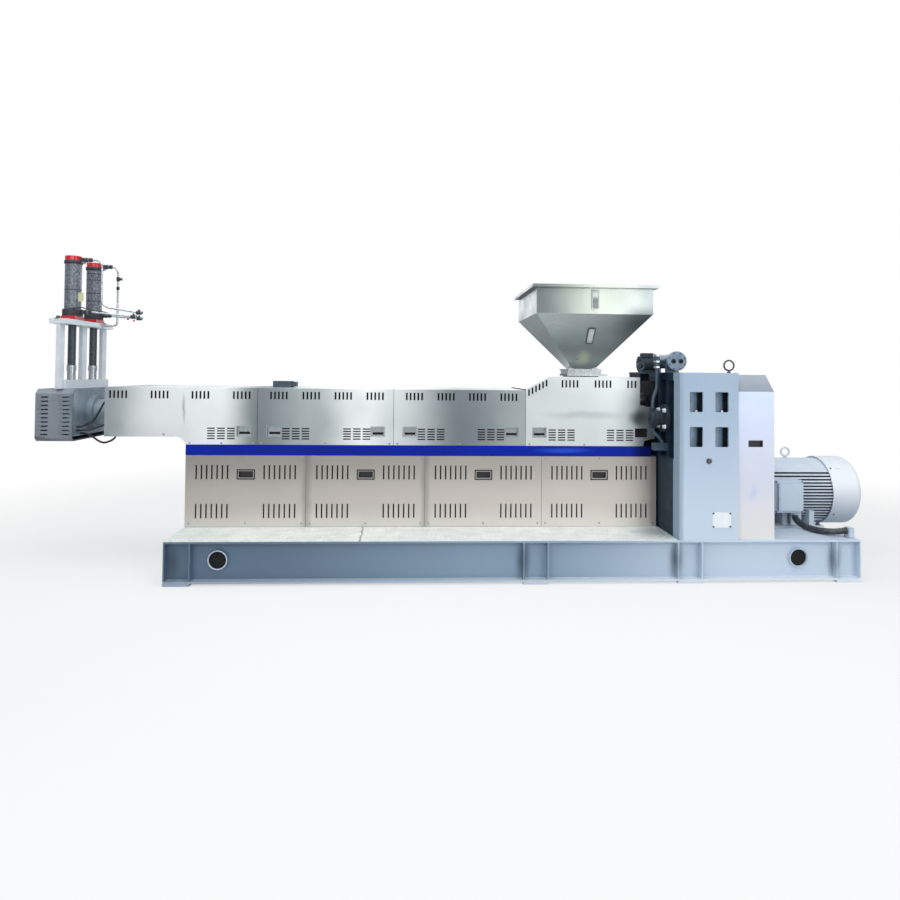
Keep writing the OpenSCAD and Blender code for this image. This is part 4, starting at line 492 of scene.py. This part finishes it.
panelScrews = {"edge": -2.58, "panel": 0.937, "inset": 0.032, "low": 0.35, "high": 0.868}
spots = []
for i in range(4):
    left = panelScrews["edge"] + i * panelScrews["panel"]
    xs = [left + panelScrews["inset"], left + panelScrews["panel"] / 2, left + panelScrews["panel"] - panelScrews["inset"]]
    spots += screwRow(xs, -0.407, [panelScrews["low"], panelScrews["high"]], front)
    spots += screwRow(xs, 0.407, [panelScrews["low"], panelScrews["high"]], rear)
coverScrews = {"zones": [(-2.58, -2.03), (-2.027, -0.961), (-0.958, 0.097), (0.1, 1.05)], "low": 0.979, "inset": 0.03}
for left, rightEnd in coverScrews["zones"]:
    for y, way in ((-0.407, front), (0.407, rear)):
        spots += screwRow([left + coverScrews["inset"], (left + rightEnd) / 2, rightEnd - coverScrews["inset"]], y,
            [coverScrews["low"]], way)
for y, way in ((-0.407, front), (0.407, rear)):
    spots += screwRow([-3.18, -2.75], y, [1.045], way)
grow("sheetScrews", spotMesh("sheetScrews", spots), headTree,
     {"Head Radius": 0.0065, "Head Height": 0.004, "Taper": 0.7, "Sides": 12, "Washer Radius": 0.008, "Socket Share": 0.5,
         "Metal": made["zincPlatedSteel"], "Hollow": made["shadeBlack"]})

# Chequer plate lugs: crossed lens-shaped ribs on a slanting grid
lugTree, lugIn = newTree("chequerLugs", {
    "Length": ("NodeSocketFloat", 3.7), "Width": ("NodeSocketFloat", 0.4), "Across": ("NodeSocketInt", 90), "Deep": ("NodeSocketInt", 12),
    "Lug Length": ("NodeSocketFloat", 0.026), "Lug Width": ("NodeSocketFloat", 0.008), "Lug Height": ("NodeSocketFloat", 0.0018),
        "Metal": ("NodeSocketMaterial", None)})
grid = addNode(lugTree, "GeometryNodeMeshGrid", {"Size X": lugIn["Length"], "Size Y": lugIn["Width"],
    "Vertices X": lugIn["Across"], "Vertices Y": lugIn["Deep"]}).outputs[0]
lugBall = addNode(lugTree, "GeometryNodeMeshUVSphere", {"Segments": 8, "Rings": 4, "Radius": 0.5}).outputs[0]
lugScale = addNode(lugTree, "ShaderNodeCombineXYZ", {0: lugIn["Lug Length"], 1: lugIn["Lug Width"], 2: lugIn["Lug Height"]}).outputs[0]
lug = addNode(lugTree, "GeometryNodeTransform", {"Geometry": lugBall, "Scale": lugScale}).outputs[0]
number = addNode(lugTree, "GeometryNodeInputIndex").outputs[0]
row = addNode(lugTree, "ShaderNodeMath", {0: number, 1: lugIn["Deep"]}, operation="DIVIDE").outputs[0]
rowWhole = addNode(lugTree, "ShaderNodeMath", {0: row}, operation="FLOOR").outputs[0]
both = addNode(lugTree, "ShaderNodeMath", {0: rowWhole, 1: number}, operation="ADD").outputs[0]
odd = addNode(lugTree, "ShaderNodeMath", {0: both, 1: 2.0}, operation="MODULO").outputs[0]
angle = addNode(lugTree, "ShaderNodeMath", {0: odd, 1: math.pi / 2, 2: math.pi / 4}, operation="MULTIPLY_ADD").outputs[0]
lugTurn = addNode(lugTree, "ShaderNodeCombineXYZ", {2: angle}).outputs[0]
lugs = addNode(lugTree, "GeometryNodeInstanceOnPoints", {"Points": grid, "Instance": lug, "Rotation": lugTurn}).outputs[0]
joinBase = addNode(lugTree, "GeometryNodeRealizeInstances", {"Geometry": lugs}).outputs[0]
firstPoint = addNode(lugTree, "GeometryNodeSampleIndex", {"Geometry": lugIn["Geometry"],
    "Value": addNode(lugTree, "GeometryNodeInputPosition").outputs[0], "Index": 0}, data_type="FLOAT_VECTOR").outputs[0]
moved = addNode(lugTree, "GeometryNodeTransform", {"Geometry": joinBase, "Translation": firstPoint}).outputs[0]
addNode(lugTree, "NodeGroupOutput", {0: addNode(lugTree, "GeometryNodeSetMaterial",
    {"Geometry": moved, "Material": lugIn["Metal"]}).outputs[0]})
chequer = {"length": 3.70, "width": 0.40, "pitch": 0.034}
for name, y in (("chequerLugsFront", -0.6285), ("chequerLugsRear", 0.6285)):
    grow(name, spotMesh(name, [((-0.706, y, 0.3222), upward)]), lugTree,
         {"Length": chequer["length"], "Width": chequer["width"], "Across": round(chequer["length"] / chequer["pitch"]),
             "Deep": round(chequer["width"] / chequer["pitch"]),
          "Lug Length": 0.036, "Lug Width": 0.011, "Lug Height": 0.004, "Metal": made["brightChequerPlate"]})


class Maker:  # gathers simple solids into one mesh
    def __init__(self):
        self.mesh = bmesh.new()

    def box(self, low, high, turn=None, bevel=0.0, move=(0, 0, 0)):  # turned about its own middle
        part = bmesh.ops.create_cube(self.mesh, size=1.0)["verts"]
        centre, size = (Vector(low) + Vector(high)) / 2, Vector(high) - Vector(low)
        bmesh.ops.scale(self.mesh, vec=size, verts=part)
        if bevel:
            edges = list({e for v in part for e in v.link_edges})
            part = list({v for f in bmesh.ops.bevel(self.mesh, geom=edges, offset=bevel, segments=2,
                affect="EDGES")["faces"] for v in f.verts})
        if turn:
            bmesh.ops.rotate(self.mesh, cent=(0, 0, 0), matrix=turn, verts=part)
        bmesh.ops.translate(self.mesh, vec=centre + Vector(move), verts=part)
        return self

    def plate(self, outline, depth):  # flat outline carried along a depth vector
        near = [self.mesh.verts.new(Vector(p)) for p in outline]
        far = [self.mesh.verts.new(Vector(p) + Vector(depth)) for p in outline]
        self.mesh.faces.new(near)
        self.mesh.faces.new(list(reversed(far)))
        for k in range(len(near)):
            self.mesh.faces.new((near[k], far[k], far[(k + 1) % len(near)], near[(k + 1) % len(near)]))
        return self

    def framed(self, centre, turn, width, height, bar, thick):  # four bars round an opening, their inner edge at the size given
        turn = turn or Matrix.Identity(3)
        for x, z, w, h in ((0, height / 2 + bar / 2, width + 2 * bar, bar), (0, -height / 2 - bar / 2, width + 2 * bar, bar),
            (width / 2 + bar / 2, 0, bar, height), (-width / 2 - bar / 2, 0, bar, height)):
            middle = Vector(centre) + turn @ Vector((x, 0, z))
            self.box((-w / 2, -thick / 2, -h / 2), (w / 2, thick / 2, h / 2), turn=turn, move=middle)
        return self

    def lathe(self, origin, way, profile, sides=20):  # profile of (radius, height) from the origin along the way
        turn = Vector((0, 0, 1)).rotation_difference(Vector(way)).to_matrix()
        rings = []
        for radius, height in profile:
            rings.append([self.mesh.verts.new(Vector(origin) + turn @ Vector((radius * math.cos(2 * math.pi * k / sides),
                radius * math.sin(2 * math.pi * k / sides), height))) for k in range(sides)])
        for low, high in zip(rings, rings[1:]):
            for k in range(sides):
                self.mesh.faces.new((low[k], low[(k + 1) % sides], high[(k + 1) % sides], high[k]))
        self.mesh.faces.new(list(reversed(rings[0])))
        self.mesh.faces.new(rings[-1])
        return self

    def tube(self, points, radius, sides=10, closed=False, side=Vector((0.3, 0.2, 0.9))):  # side: a way the route never takes
        points = [Vector(p) for p in points]
        count = len(points)
        rings = []
        for i, p in enumerate(points):
            before, after = points[(i - 1) % count] if closed or i else p, points[(i + 1) % count] if closed or i < count - 1 else p
            heading = (after - before).normalized()
            u = heading.cross(side).normalized()
            v = heading.cross(u)
            rings.append([self.mesh.verts.new(p + radius * (math.cos(2 * math.pi * k / sides) * u + math.sin(2 * math.pi * k / sides) * v)) for k in range(sides)])
        pairs = list(zip(rings, rings[1:])) + ([(rings[-1], rings[0])] if closed else [])
        for low, high in pairs:
            for k in range(sides):
                self.mesh.faces.new((low[k], low[(k + 1) % sides], high[(k + 1) % sides], high[k]))
        if not closed:
            self.mesh.faces.new(list(reversed(rings[0])))
            self.mesh.faces.new(rings[-1])
        return self

    def done(self, name, finishName, slotName, body="machine", smooth=False):
        bmesh.ops.recalc_face_normals(self.mesh, faces=self.mesh.faces)
        mesh = bpy.data.meshes.new(name)
        self.mesh.to_mesh(mesh)
        self.mesh.free()
        mesh.materials.append(made[finishName])
        if smooth:
            mesh.shade_smooth()
        return settle(bpy.data.objects.new(name, mesh), body)


# Bars: one small box at each spot, turned to its facing
barTree, barIn = newTree("smallBars", {"Size": ("NodeSocketVector", None), "Metal": ("NodeSocketMaterial", None)})
oneBar = addNode(barTree, "GeometryNodeMeshCube", {"Size": barIn["Size"]}).outputs[0]
barFacing = addNode(barTree, "GeometryNodeInputNamedAttribute", {"Name": "facing"}, data_type="FLOAT_VECTOR").outputs[0]
barTurn = addNode(barTree, "FunctionNodeAlignRotationToVector", {"Vector": barFacing}, axis="Z").outputs[0]
barSpread = addNode(barTree, "GeometryNodeInstanceOnPoints", {"Points": barIn["Geometry"], "Instance": oneBar,
    "Rotation": barTurn}).outputs[0]
barSolid = addNode(barTree, "GeometryNodeRealizeInstances", {"Geometry": barSpread}).outputs[0]
addNode(barTree, "NodeGroupOutput", {0: addNode(barTree, "GeometryNodeSetMaterial",
    {"Geometry": barSolid, "Material": barIn["Metal"]}).outputs[0]})

# Ribs of the conduit: rings along its route, at an even step
ribTree, ribIn = newTree("conduitRibs", {
    "Step": ("NodeSocketFloat", 0.009), "Ring Radius": ("NodeSocketFloat", 0.025), "Ring Width": ("NodeSocketFloat", 0.004),
        "Skin": ("NodeSocketMaterial", None)})
ribCurve = addNode(ribTree, "GeometryNodeMeshToCurve", {"Mesh": ribIn["Geometry"]}).outputs[0]
ribPoints = addNode(ribTree, "GeometryNodeCurveToPoints", {"Curve": ribCurve, "Length": ribIn["Step"]}, mode="LENGTH")
oneRib = addNode(ribTree, "GeometryNodeMeshCylinder", {"Vertices": 14, "Radius": ribIn["Ring Radius"],
    "Depth": ribIn["Ring Width"]}).outputs[0]
ribSpread = addNode(ribTree, "GeometryNodeInstanceOnPoints", {"Points": ribPoints.outputs["Points"], "Instance": oneRib,
    "Rotation": ribPoints.outputs["Rotation"]}).outputs[0]
ribSolid = addNode(ribTree, "GeometryNodeRealizeInstances", {"Geometry": ribSpread}).outputs[0]
addNode(ribTree, "NodeGroupOutput", {0: addNode(ribTree, "GeometryNodeSetMaterial",
    {"Geometry": ribSolid, "Material": ribIn["Skin"]}).outputs[0]})

sides = ((-1, front), (1, rear))

# Lifting holes: a black disc inside as painted shade, and a rolled rim on the sleeve in pale enamel as painted
# highlight
holes = {"xs": [-2.206, 2.118], "z": 0.175, "radius": 0.063, "mouth": 0.81, "rimRadius": 0.005}
holeShades, rims = Maker(), Maker()
for x in holes["xs"]:
    for s, way in sides:
        holeShades.lathe((x, s * (holes["mouth"] - 0.012), holes["z"]), way,
            [(holes["radius"] + 0.001, -0.004), (holes["radius"] + 0.001, 0.0)], 40)
        rims.tube([(x + (holes["radius"] + 0.004) * math.cos(a * math.pi / 20), s * holes["mouth"],
            holes["z"] + (holes["radius"] + 0.004) * math.sin(a * math.pi / 20)) for a in range(40)],
                  holes["rimRadius"], 8, closed=True, side=Vector((0, 1, 0)))
holeShades.done("liftingHoleShades", "shadeBlack", "painted_steel_blue")
rims.done("liftingHoleRims", "terminalBoxEnamel", "painted_steel_blue", smooth=True)

# Painted shade: black sheets behind the slots of panels and covers, for their unlit insides
insides = {"panelY": 0.34, "coverY": 0.379, "thick": 0.001}
shades = Maker()
for s in (-1, 1):
    y = s * insides["panelY"]
    shades.plate([(-2.51, y, 0.38), (1.1, y, 0.38), (1.1, y, 0.83), (-2.51, y, 0.83)], (0, insides["thick"], 0))
    y = s * insides["coverY"]
    shades.plate([(-2.57, y, 0.97), (0.09, y, 0.97), (0.09, y, 1.405), (-2.57, y, 1.405)], (0, insides["thick"], 0))
    shades.plate([(-3.19, y, 1.04), (-2.59, y, 1.04), (-2.59, y, 1.405), (-3.19, y, 1.405)], (0, insides["thick"], 0))
    shades.plate([(0.105, y, 0.97), (1.025, y, 0.97), (1.025, y, 1.515), (0.286, y, 1.515), (0.105, y, 1.41)], (0, insides["thick"], 0))
shades.done("slotShades", "shadeBlack", "cover_steel")

# Recessed pulls: folded frames, black plates inside the cover pulls as painted shade, black boxes in the coupling
# guard's pulls as painted shade
pulls = {"coverXs": [-2.186, -1.950, -1.136, -0.881, -0.067, 0.159], "feedX": 0.992, "width": 0.104, "low": 1.037, "high": 1.109,
         "panelXs": [-2.1115, -1.1745, -0.2375, 0.6995], "panelSize": (0.112, 0.05), "panelZ": 0.734, "guardX": (1.729, 1.841),
             "guardZ": (1.008, 1.058)}
pullFrames, pullRecessShades, panelFrames, guardRecessShade = Maker(), Maker(), Maker(), Maker()
for s, way in sides:
    for x in pulls["coverXs"] + [pulls["feedX"]]:
        pullFrames.framed((x + pulls["width"] / 2, s * 0.4085, (pulls["low"] + pulls["high"]) / 2), None, pulls["width"] + 0.004,
            pulls["high"] - pulls["low"] + 0.004, 0.004, 0.003)
    for x in pulls["coverXs"]:
        pullRecessShades.box((x + 0.012, s * 0.3865 - 0.001, pulls["low"] + 0.012),
            (x + pulls["width"] - 0.008, s * 0.3865 + 0.001, pulls["low"] + 0.03))
    pullRecessShades.box((pulls["feedX"] + 0.001, s * 0.3865 - 0.001, pulls["low"] + 0.001),
        (pulls["feedX"] + pulls["width"] - 0.001, s * 0.3865 + 0.001, pulls["high"] - 0.001))
    for x in pulls["panelXs"]:
        panelFrames.framed((x, s * 0.4085, pulls["panelZ"]), None, pulls["panelSize"][0] + 0.012, pulls["panelSize"][1] + 0.012,
            0.009, 0.003)
    (x0, x1), (z0, z1) = pulls["guardX"], pulls["guardZ"]
    guardRecessShade.box((x0 + 0.001, s * 0.7915 - 0.001, z0 + 0.001), (x1 - 0.001, s * 0.7915 + 0.001, z1 - 0.001))
    for z in (z0 + 0.001, z1 - 0.001):
        guardRecessShade.box((x0 + 0.001, s * 0.801 - 0.01, z - 0.0005), (x1 - 0.001, s * 0.801 + 0.01, z + 0.0005))
    for x in (x0 + 0.001, x1 - 0.001):
        guardRecessShade.box((x - 0.0005, s * 0.801 - 0.01, z0 + 0.001), (x + 0.0005, s * 0.801 + 0.01, z1 - 0.001))
pullFrames.done("coverPullFrames", "zincPlatedSteel", "cover_steel")
pullRecessShades.done("coverPullShades", "shadeBlack", "cover_steel")
panelFrames.done("panelPullFrames", "mouldedBlackPlastic", "black_plastic")
guardRecessShade.done("guardPullShade", "mouldedBlackPlastic", "black_plastic")

# Screen changer: tape on the cylinders, black port fittings, tees, valves and a blank tag
changer = {"x": -3.575, "columnY": 0.18, "portX": -3.483, "portZs": [2.012, 2.436]}
tapes = {"near": [2.186], "far": [2.363, 2.311, 2.196, 2.129], "height": 0.008}
tape = Maker()
for y, heights in ((-changer["columnY"], tapes["near"]), (changer["columnY"], tapes["far"])):
    for z in heights:
        tape.lathe((changer["x"], y, z), upward, [(0.060, 0), (0.0632, 0.001), (0.0634, tapes["height"] - 0.001),
            (0.060, tapes["height"])], 32)
    tape.lathe((changer["x"], y, 1.9755), upward, [(0.073, 0), (0.0755, 0.004), (0.0752, 0.02), (0.0763, 0.03), (0.0752, 0.04),
        (0.0758, 0.05), (0.073, 0.0565), (0.062, 0.06)], 32)
    tape.lathe((changer["x"], y, 2.398), upward, [(0.062, 0), (0.0675, 0.003), (0.0692, 0.012), (0.0683, 0.02), (0.0688, 0.0275),
        (0.064, 0.0295)], 32)
tape.done("cylinderTape", "blackClothTape", "wrapped_film", smooth=True)
unions = {"radius": 0.017, "length": 0.062, "lineEnds": [(-3.040, -0.18, 2.012), (-3.083, -0.18, 1.978), (-3.183, 0.18, 1.992)]}
fittings = Maker()
for y in (-changer["columnY"], changer["columnY"]):
    for z in changer["portZs"]:
        fittings.lathe((changer["portX"], y, z), drive, [(0.014, 0), (0.019, 0.003), (0.019, 0.02), (unions["radius"], 0.022),
            (unions["radius"], 0.05), (0.012, unions["length"])], 6)
        fittings.box((changer["portX"] - 0.031, y - 0.0155, z - 0.0155), (changer["portX"] + 0.0005, y + 0.0155, z + 0.0155))
fittings.lathe((-3.375, 0.18, 2.312), upward, [(0.011, 0), (0.014, 0.004), (0.014, 0.034), (0.011, 0.038)], 12)
fittings.lathe((-3.375, 0.18, 2.331), drive, [(0.010, 0), (0.010, 0.022), (0.013, 0.024), (0.013, 0.032)], 12)
fittings.lathe((-3.375, 0.18, 2.236), upward, [(0.010, 0), (0.0145, 0.006), (0.0145, 0.024), (0.010, 0.03)], 6)
for x, y, z in unions["lineEnds"]:
    fittings.lathe((x - 0.03, y, z), drive, [(0.012, 0), (0.0165, 0.004), (0.0165, 0.04), (0.011, 0.044), (0.011, 0.05)], 12)
    fittings.box((x - 0.014, y - 0.007, z), (x - 0.002, y + 0.007, z + 0.028), bevel=0.002)
fittings.done("lineFittings", "blackClothTape", "black_plastic")
plugs = Maker()
for x, y, z in unions["lineEnds"]:
    plugs.lathe((x - 0.052, y, z - 0.012), (0, 0, -1), [(0.006, 0), (0.008, 0.004), (0.008, 0.014)], 10)
plugs.done("redLinePlugs", "glossRedEnamel", "red_paint")
ties = Maker()
for y, z, reach in ((-0.235, 2.032, 0.075), (-0.19, 1.985, 0.07), (0.13, 2.035, 0.05)):
    ties.tube([(-3.60, y, z), (-3.54, y - 0.012, z + 0.004), (-3.50 + reach * 0.4, y - 0.02, z + 0.01),
        (-3.47 + reach, y - 0.03, z - 0.006)], 0.0045, 6)
ties.tube([(-3.66, -0.2, 1.962), (-3.69, -0.215, 1.957), (-3.7, -0.235, 1.95)], 0.006, 6)
ties.done("tapeEnds", "blackClothTape", "wrapped_film")
Maker().box((-3.522, -0.2075, 2.094), (-3.478, -0.2055, 2.166)).done("blankTag", "yellowedTag", "wrapped_film")

louvres = {"xs": [-3.6875, -3.5245], "width": 0.054, "low": 1.033, "pitch": 0.0322, "height": 0.012, "count": 10, "face": 0.405}
lipSpots = []
for s, way in sides:
    for x in louvres["xs"]:
        lipSpots += [((x + louvres["width"] / 2 - 0.027, s * (louvres["face"] + 0.002),
            louvres["low"] + i * louvres["pitch"] + louvres["height"]), upward) for i in range(louvres["count"])]
grow("guardLouvreLips", spotMesh("guardLouvreLips", lipSpots), barTree,
    {"Size": (louvres["width"], 0.006, 0.003), "Metal": made["guardHammerPaint"]})

# Hopper: frames of the two glasses, clamps and the slide's stop on the flange; the lower frame and the stop are in the
# darker copy of the screw steel, as painted shade
glasses = {"x": 0.643, "upper": (-0.4815, 2.148), "lower": (-0.3305, 1.8634), "tilt": math.atan(375 / 441), "size": (0.044, 0.142)}
pale, dark = Maker(), Maker()
pale.framed((glasses["x"], glasses["upper"][0], glasses["upper"][1]), None, glasses["size"][0] + 0.003,
    glasses["size"][1] + 0.003, 0.006, 0.003)
lean = Matrix.Rotation(glasses["tilt"], 3, "X")
middle = Vector((glasses["x"], glasses["lower"][0], glasses["lower"][1])) + lean @ Vector((0, -0.0085, 0))
dark.framed(middle, lean, glasses["size"][0] + 0.003, glasses["size"][1] + 0.003, 0.006, 0.003)
for x0, x1 in ((0.495, 0.55), (0.70, 0.765)):
    pale.box((x0, -0.156, 1.572), (x1, -0.128, 1.596), bevel=0.003)
    pale.lathe(((x0 + x1) / 2, -0.142, 1.596), upward, [(0.009, 0), (0.009, 0.008)], 6)
dark.box((0.457, -0.13, 1.532), (0.4935, -0.03, 1.548), bevel=0.002)
pale.done("hopperBrightFittings", "zincPlatedSteel", "cover_steel")
dark.done("hopperDarkFittings", "shadedScrewSteel", "cover_steel")

# Gearbox side: pump flange and its bolts, cooler ports, nuts on the tall valve, window tabs, drain plug and blank plate
pump = {"y": -0.56, "z": 1.206, "face": 1.159, "boltCircle": 0.09}
cooler = {"x": 1.302, "y": -0.500, "z": 1.658, "ports": 0.030, "boltCircle": 0.067}
iron = Maker()
iron.lathe((1.082, pump["y"], pump["z"]), drive, [(0.066, 0), (0.078, 0.004), (0.078, 0.024), (0.066, 0.028)], 8)
iron.lathe((1.063, pump["y"], pump["z"]), noseward, [(0.03, 0), (0.03, 0.004), (0.015, 0.005), (0.015, 0.018)], 16)
for s in (-1, 1):
    iron.lathe((cooler["x"] + s * cooler["ports"], cooler["y"], cooler["z"]), front, [(0.019, 0), (0.019, 0.006), (0.015, 0.008)], 20)
iron.done("pumpAndCoolerRings", "darkCastPaint", "dark_cast")
# black discs in the cooler ports as painted shade
portHoles = Maker()
for s in (-1, 1):
    portHoles.lathe((cooler["x"] + s * cooler["ports"], cooler["y"] - 0.0078, cooler["z"]), front, [(0.012, 0), (0.012, 0.001)], 20)
portHoles.done("coolerPorts", "shadeBlack", "dark_cast")
aroundPump = [((pump["face"], pump["y"] + pump["boltCircle"] * math.cos(a), pump["z"] + pump["boltCircle"] * math.sin(a)),
    noseward) for a in (math.radians(45 + 90 * k) for k in range(4))]
grow("pumpBolts", spotMesh("pumpBolts", aroundPump), headTree,
     {"Head Radius": 0.015, "Head Height": 0.02, "Taper": 0.95, "Sides": 6, "Washer Radius": 0.018, "Socket Share": 0.2,
         "Metal": made["blankPlateEnamel"], "Hollow": made["shadedScrewSteel"]})
aroundCap = [((cooler["x"] + cooler["boltCircle"] * math.cos(a), cooler["y"] - 0.003,
    cooler["z"] + cooler["boltCircle"] * math.sin(a)), front) for a in (math.radians(22.5 + 45 * k) for k in range(8))]
smallBolts = aroundCap + [((x, s * 0.392, z), way) for s, way in sides[:1] for x in (2.175, 2.395) for z in (0.434, 0.679)]
smallBolts += [((2.754, -0.2011, 0.7634), (0, -0.694, 0.72)), ((2.764, -0.2289, 0.3776), (0, -0.79, -0.612)),
    ((2.754, 0.2011, 0.7634), (0, 0.694, 0.72)), ((2.764, 0.2289, 0.3776), (0, 0.79, -0.612))]
smallBolts += [((x, -0.853, z), front) for x in (1.442, 1.569) for z in (0.418, 0.517)]
# small and large bolt heads in the darker copy of the screw steel, as painted shade
grow("smallBolts", spotMesh("smallBolts", smallBolts), headTree,
     {"Head Radius": 0.006, "Head Height": 0.005, "Taper": 0.9, "Sides": 6, "Washer Radius": 0.0075, "Socket Share": 0.3,
         "Metal": made["shadedScrewSteel"], "Hollow": made["shadeBlack"]})
bigBolts = [((x, s * 0.28, 0.301), upward) for s in (-1, 1) for x in (2.14, 2.594)] + [((1.408, -0.851, 0.906), front),
    ((1.408, 0.851, 0.906), rear)]
bigBolts += [((-3.583, s * 0.385, 1.944), upward) for s in (-1, 1)]
grow("largeBolts", spotMesh("largeBolts", bigBolts), headTree,
     {"Head Radius": 0.0165, "Head Height": 0.02, "Taper": 0.95, "Sides": 6, "Washer Radius": 0.021, "Socket Share": 0.2,
         "Metal": made["shadedScrewSteel"], "Hollow": made["shadeBlack"]})
valve = {"x": 1.123, "y": -0.540, "nuts": [1.598, 1.642, 1.69]}
nuts = Maker()
for z in valve["nuts"]:
    nuts.lathe((valve["x"], valve["y"], z), upward, [(0.022, 0), (0.026, 0.003), (0.026, 0.015), (0.022, 0.018)], 6)
for x in (1.3115, 1.5075):
    nuts.box((x - 0.006, -0.845, 1.2705), (x + 0.01, -0.836, 1.284))
nuts.done("valveNuts", "zincPlatedSteel", "dark_cast")
blanks = Maker()
blanks.box((1.435, -0.8525, 0.411), (1.576, -0.8498, 0.524))
blanks.box((2.8015, -0.001, -0.0225), (2.8445, 0.001, 0.0225), turn=Matrix.Rotation(math.radians(-50), 3, "X"), move=(0, -0.1865, 0.7785))
blanks.done("blankPlates", "blankPlateEnamel", "motor_paint")

# Motor: painted shade on the floors between the fins, ribs of the conduit, its pale clamp, and black bars of painted
# shade for the slots in the end of the cowl
motor = {"axisZ": 0.555, "radius": 0.272, "floor": 0.016, "from": 2.074, "to": 2.74}
finShade = Maker()
for s in (-1, 1):
    arc = [math.radians(a) for a in range(-52, 53, 4)]
    outer = [(motor["from"], s * (motor["radius"] * math.cos(a) - motor["floor"]),
        motor["axisZ"] + motor["radius"] * math.sin(a)) for a in arc]
    inner = [(x, y - s * 0.006, z) for x, y, z in reversed(outer)]
    finShade.plate(outer + inner, (motor["to"] - motor["from"], 0, 0))
finShade.done("finGapShade", "shadowedMotorPaint", "motor_paint")
slotShadeBars = Maker()
for k in range(28):
    a = 2 * math.pi * k / 28
    for radius in (0.1, 0.17):
        slotShadeBars.box((-0.0005, -0.003, -0.026), (0.0005, 0.003, 0.026), turn=Matrix.Rotation(a, 3, "X"),
            move=(2.9852, -radius * math.sin(a), motor["axisZ"] + radius * math.cos(a)))
slotShadeBars.done("cowlSlotShades", "shadeBlack", "motor_paint")
conduit = {"route": [(2.365, -0.333, 0.401), (2.365, -0.333, 0.372), (2.358, -0.43, 0.3395), (2.356, -0.61, 0.3395),
    (2.4, -0.68, 0.3425), (2.46, -0.73, 0.35), (2.507, -0.756, 0.364), (2.524, -0.758, 0.364)],
           "corner": 0.05, "steps": 3}
path = [Vector(p) for p in conduit["route"]]
smooth = [path[0]]
for before, here, after in zip(path, path[1:], path[2:]):
    a = here + (before - here).normalized() * min(conduit["corner"], (before - here).length / 2.1)
    b = here + (after - here).normalized() * min(conduit["corner"], (after - here).length / 2.1)
    smooth += [a * (1 - t) ** 2 + here * 2 * t * (1 - t) + b * t * t for t in (k / conduit["steps"] for k in range(conduit["steps"] + 1))]
smooth.append(path[-1])
routeMesh = bpy.data.meshes.new("conduitRoute")
routeMesh.from_pydata(smooth, [(i, i + 1) for i in range(len(smooth) - 1)], [])
grow("conduitRibs", routeMesh, ribTree, {"Step": 0.0095, "Ring Radius": 0.0252, "Ring Width": 0.0045,
    "Skin": made["ribbedConduitPlastic"]})
Maker().box((2.5262, -0.7908, 0.3162), (2.5688, -0.7292, 0.3918), bevel=0.002).done("conduitClamp", "terminalBoxEnamel", "motor_paint")

print("detail pieces made")
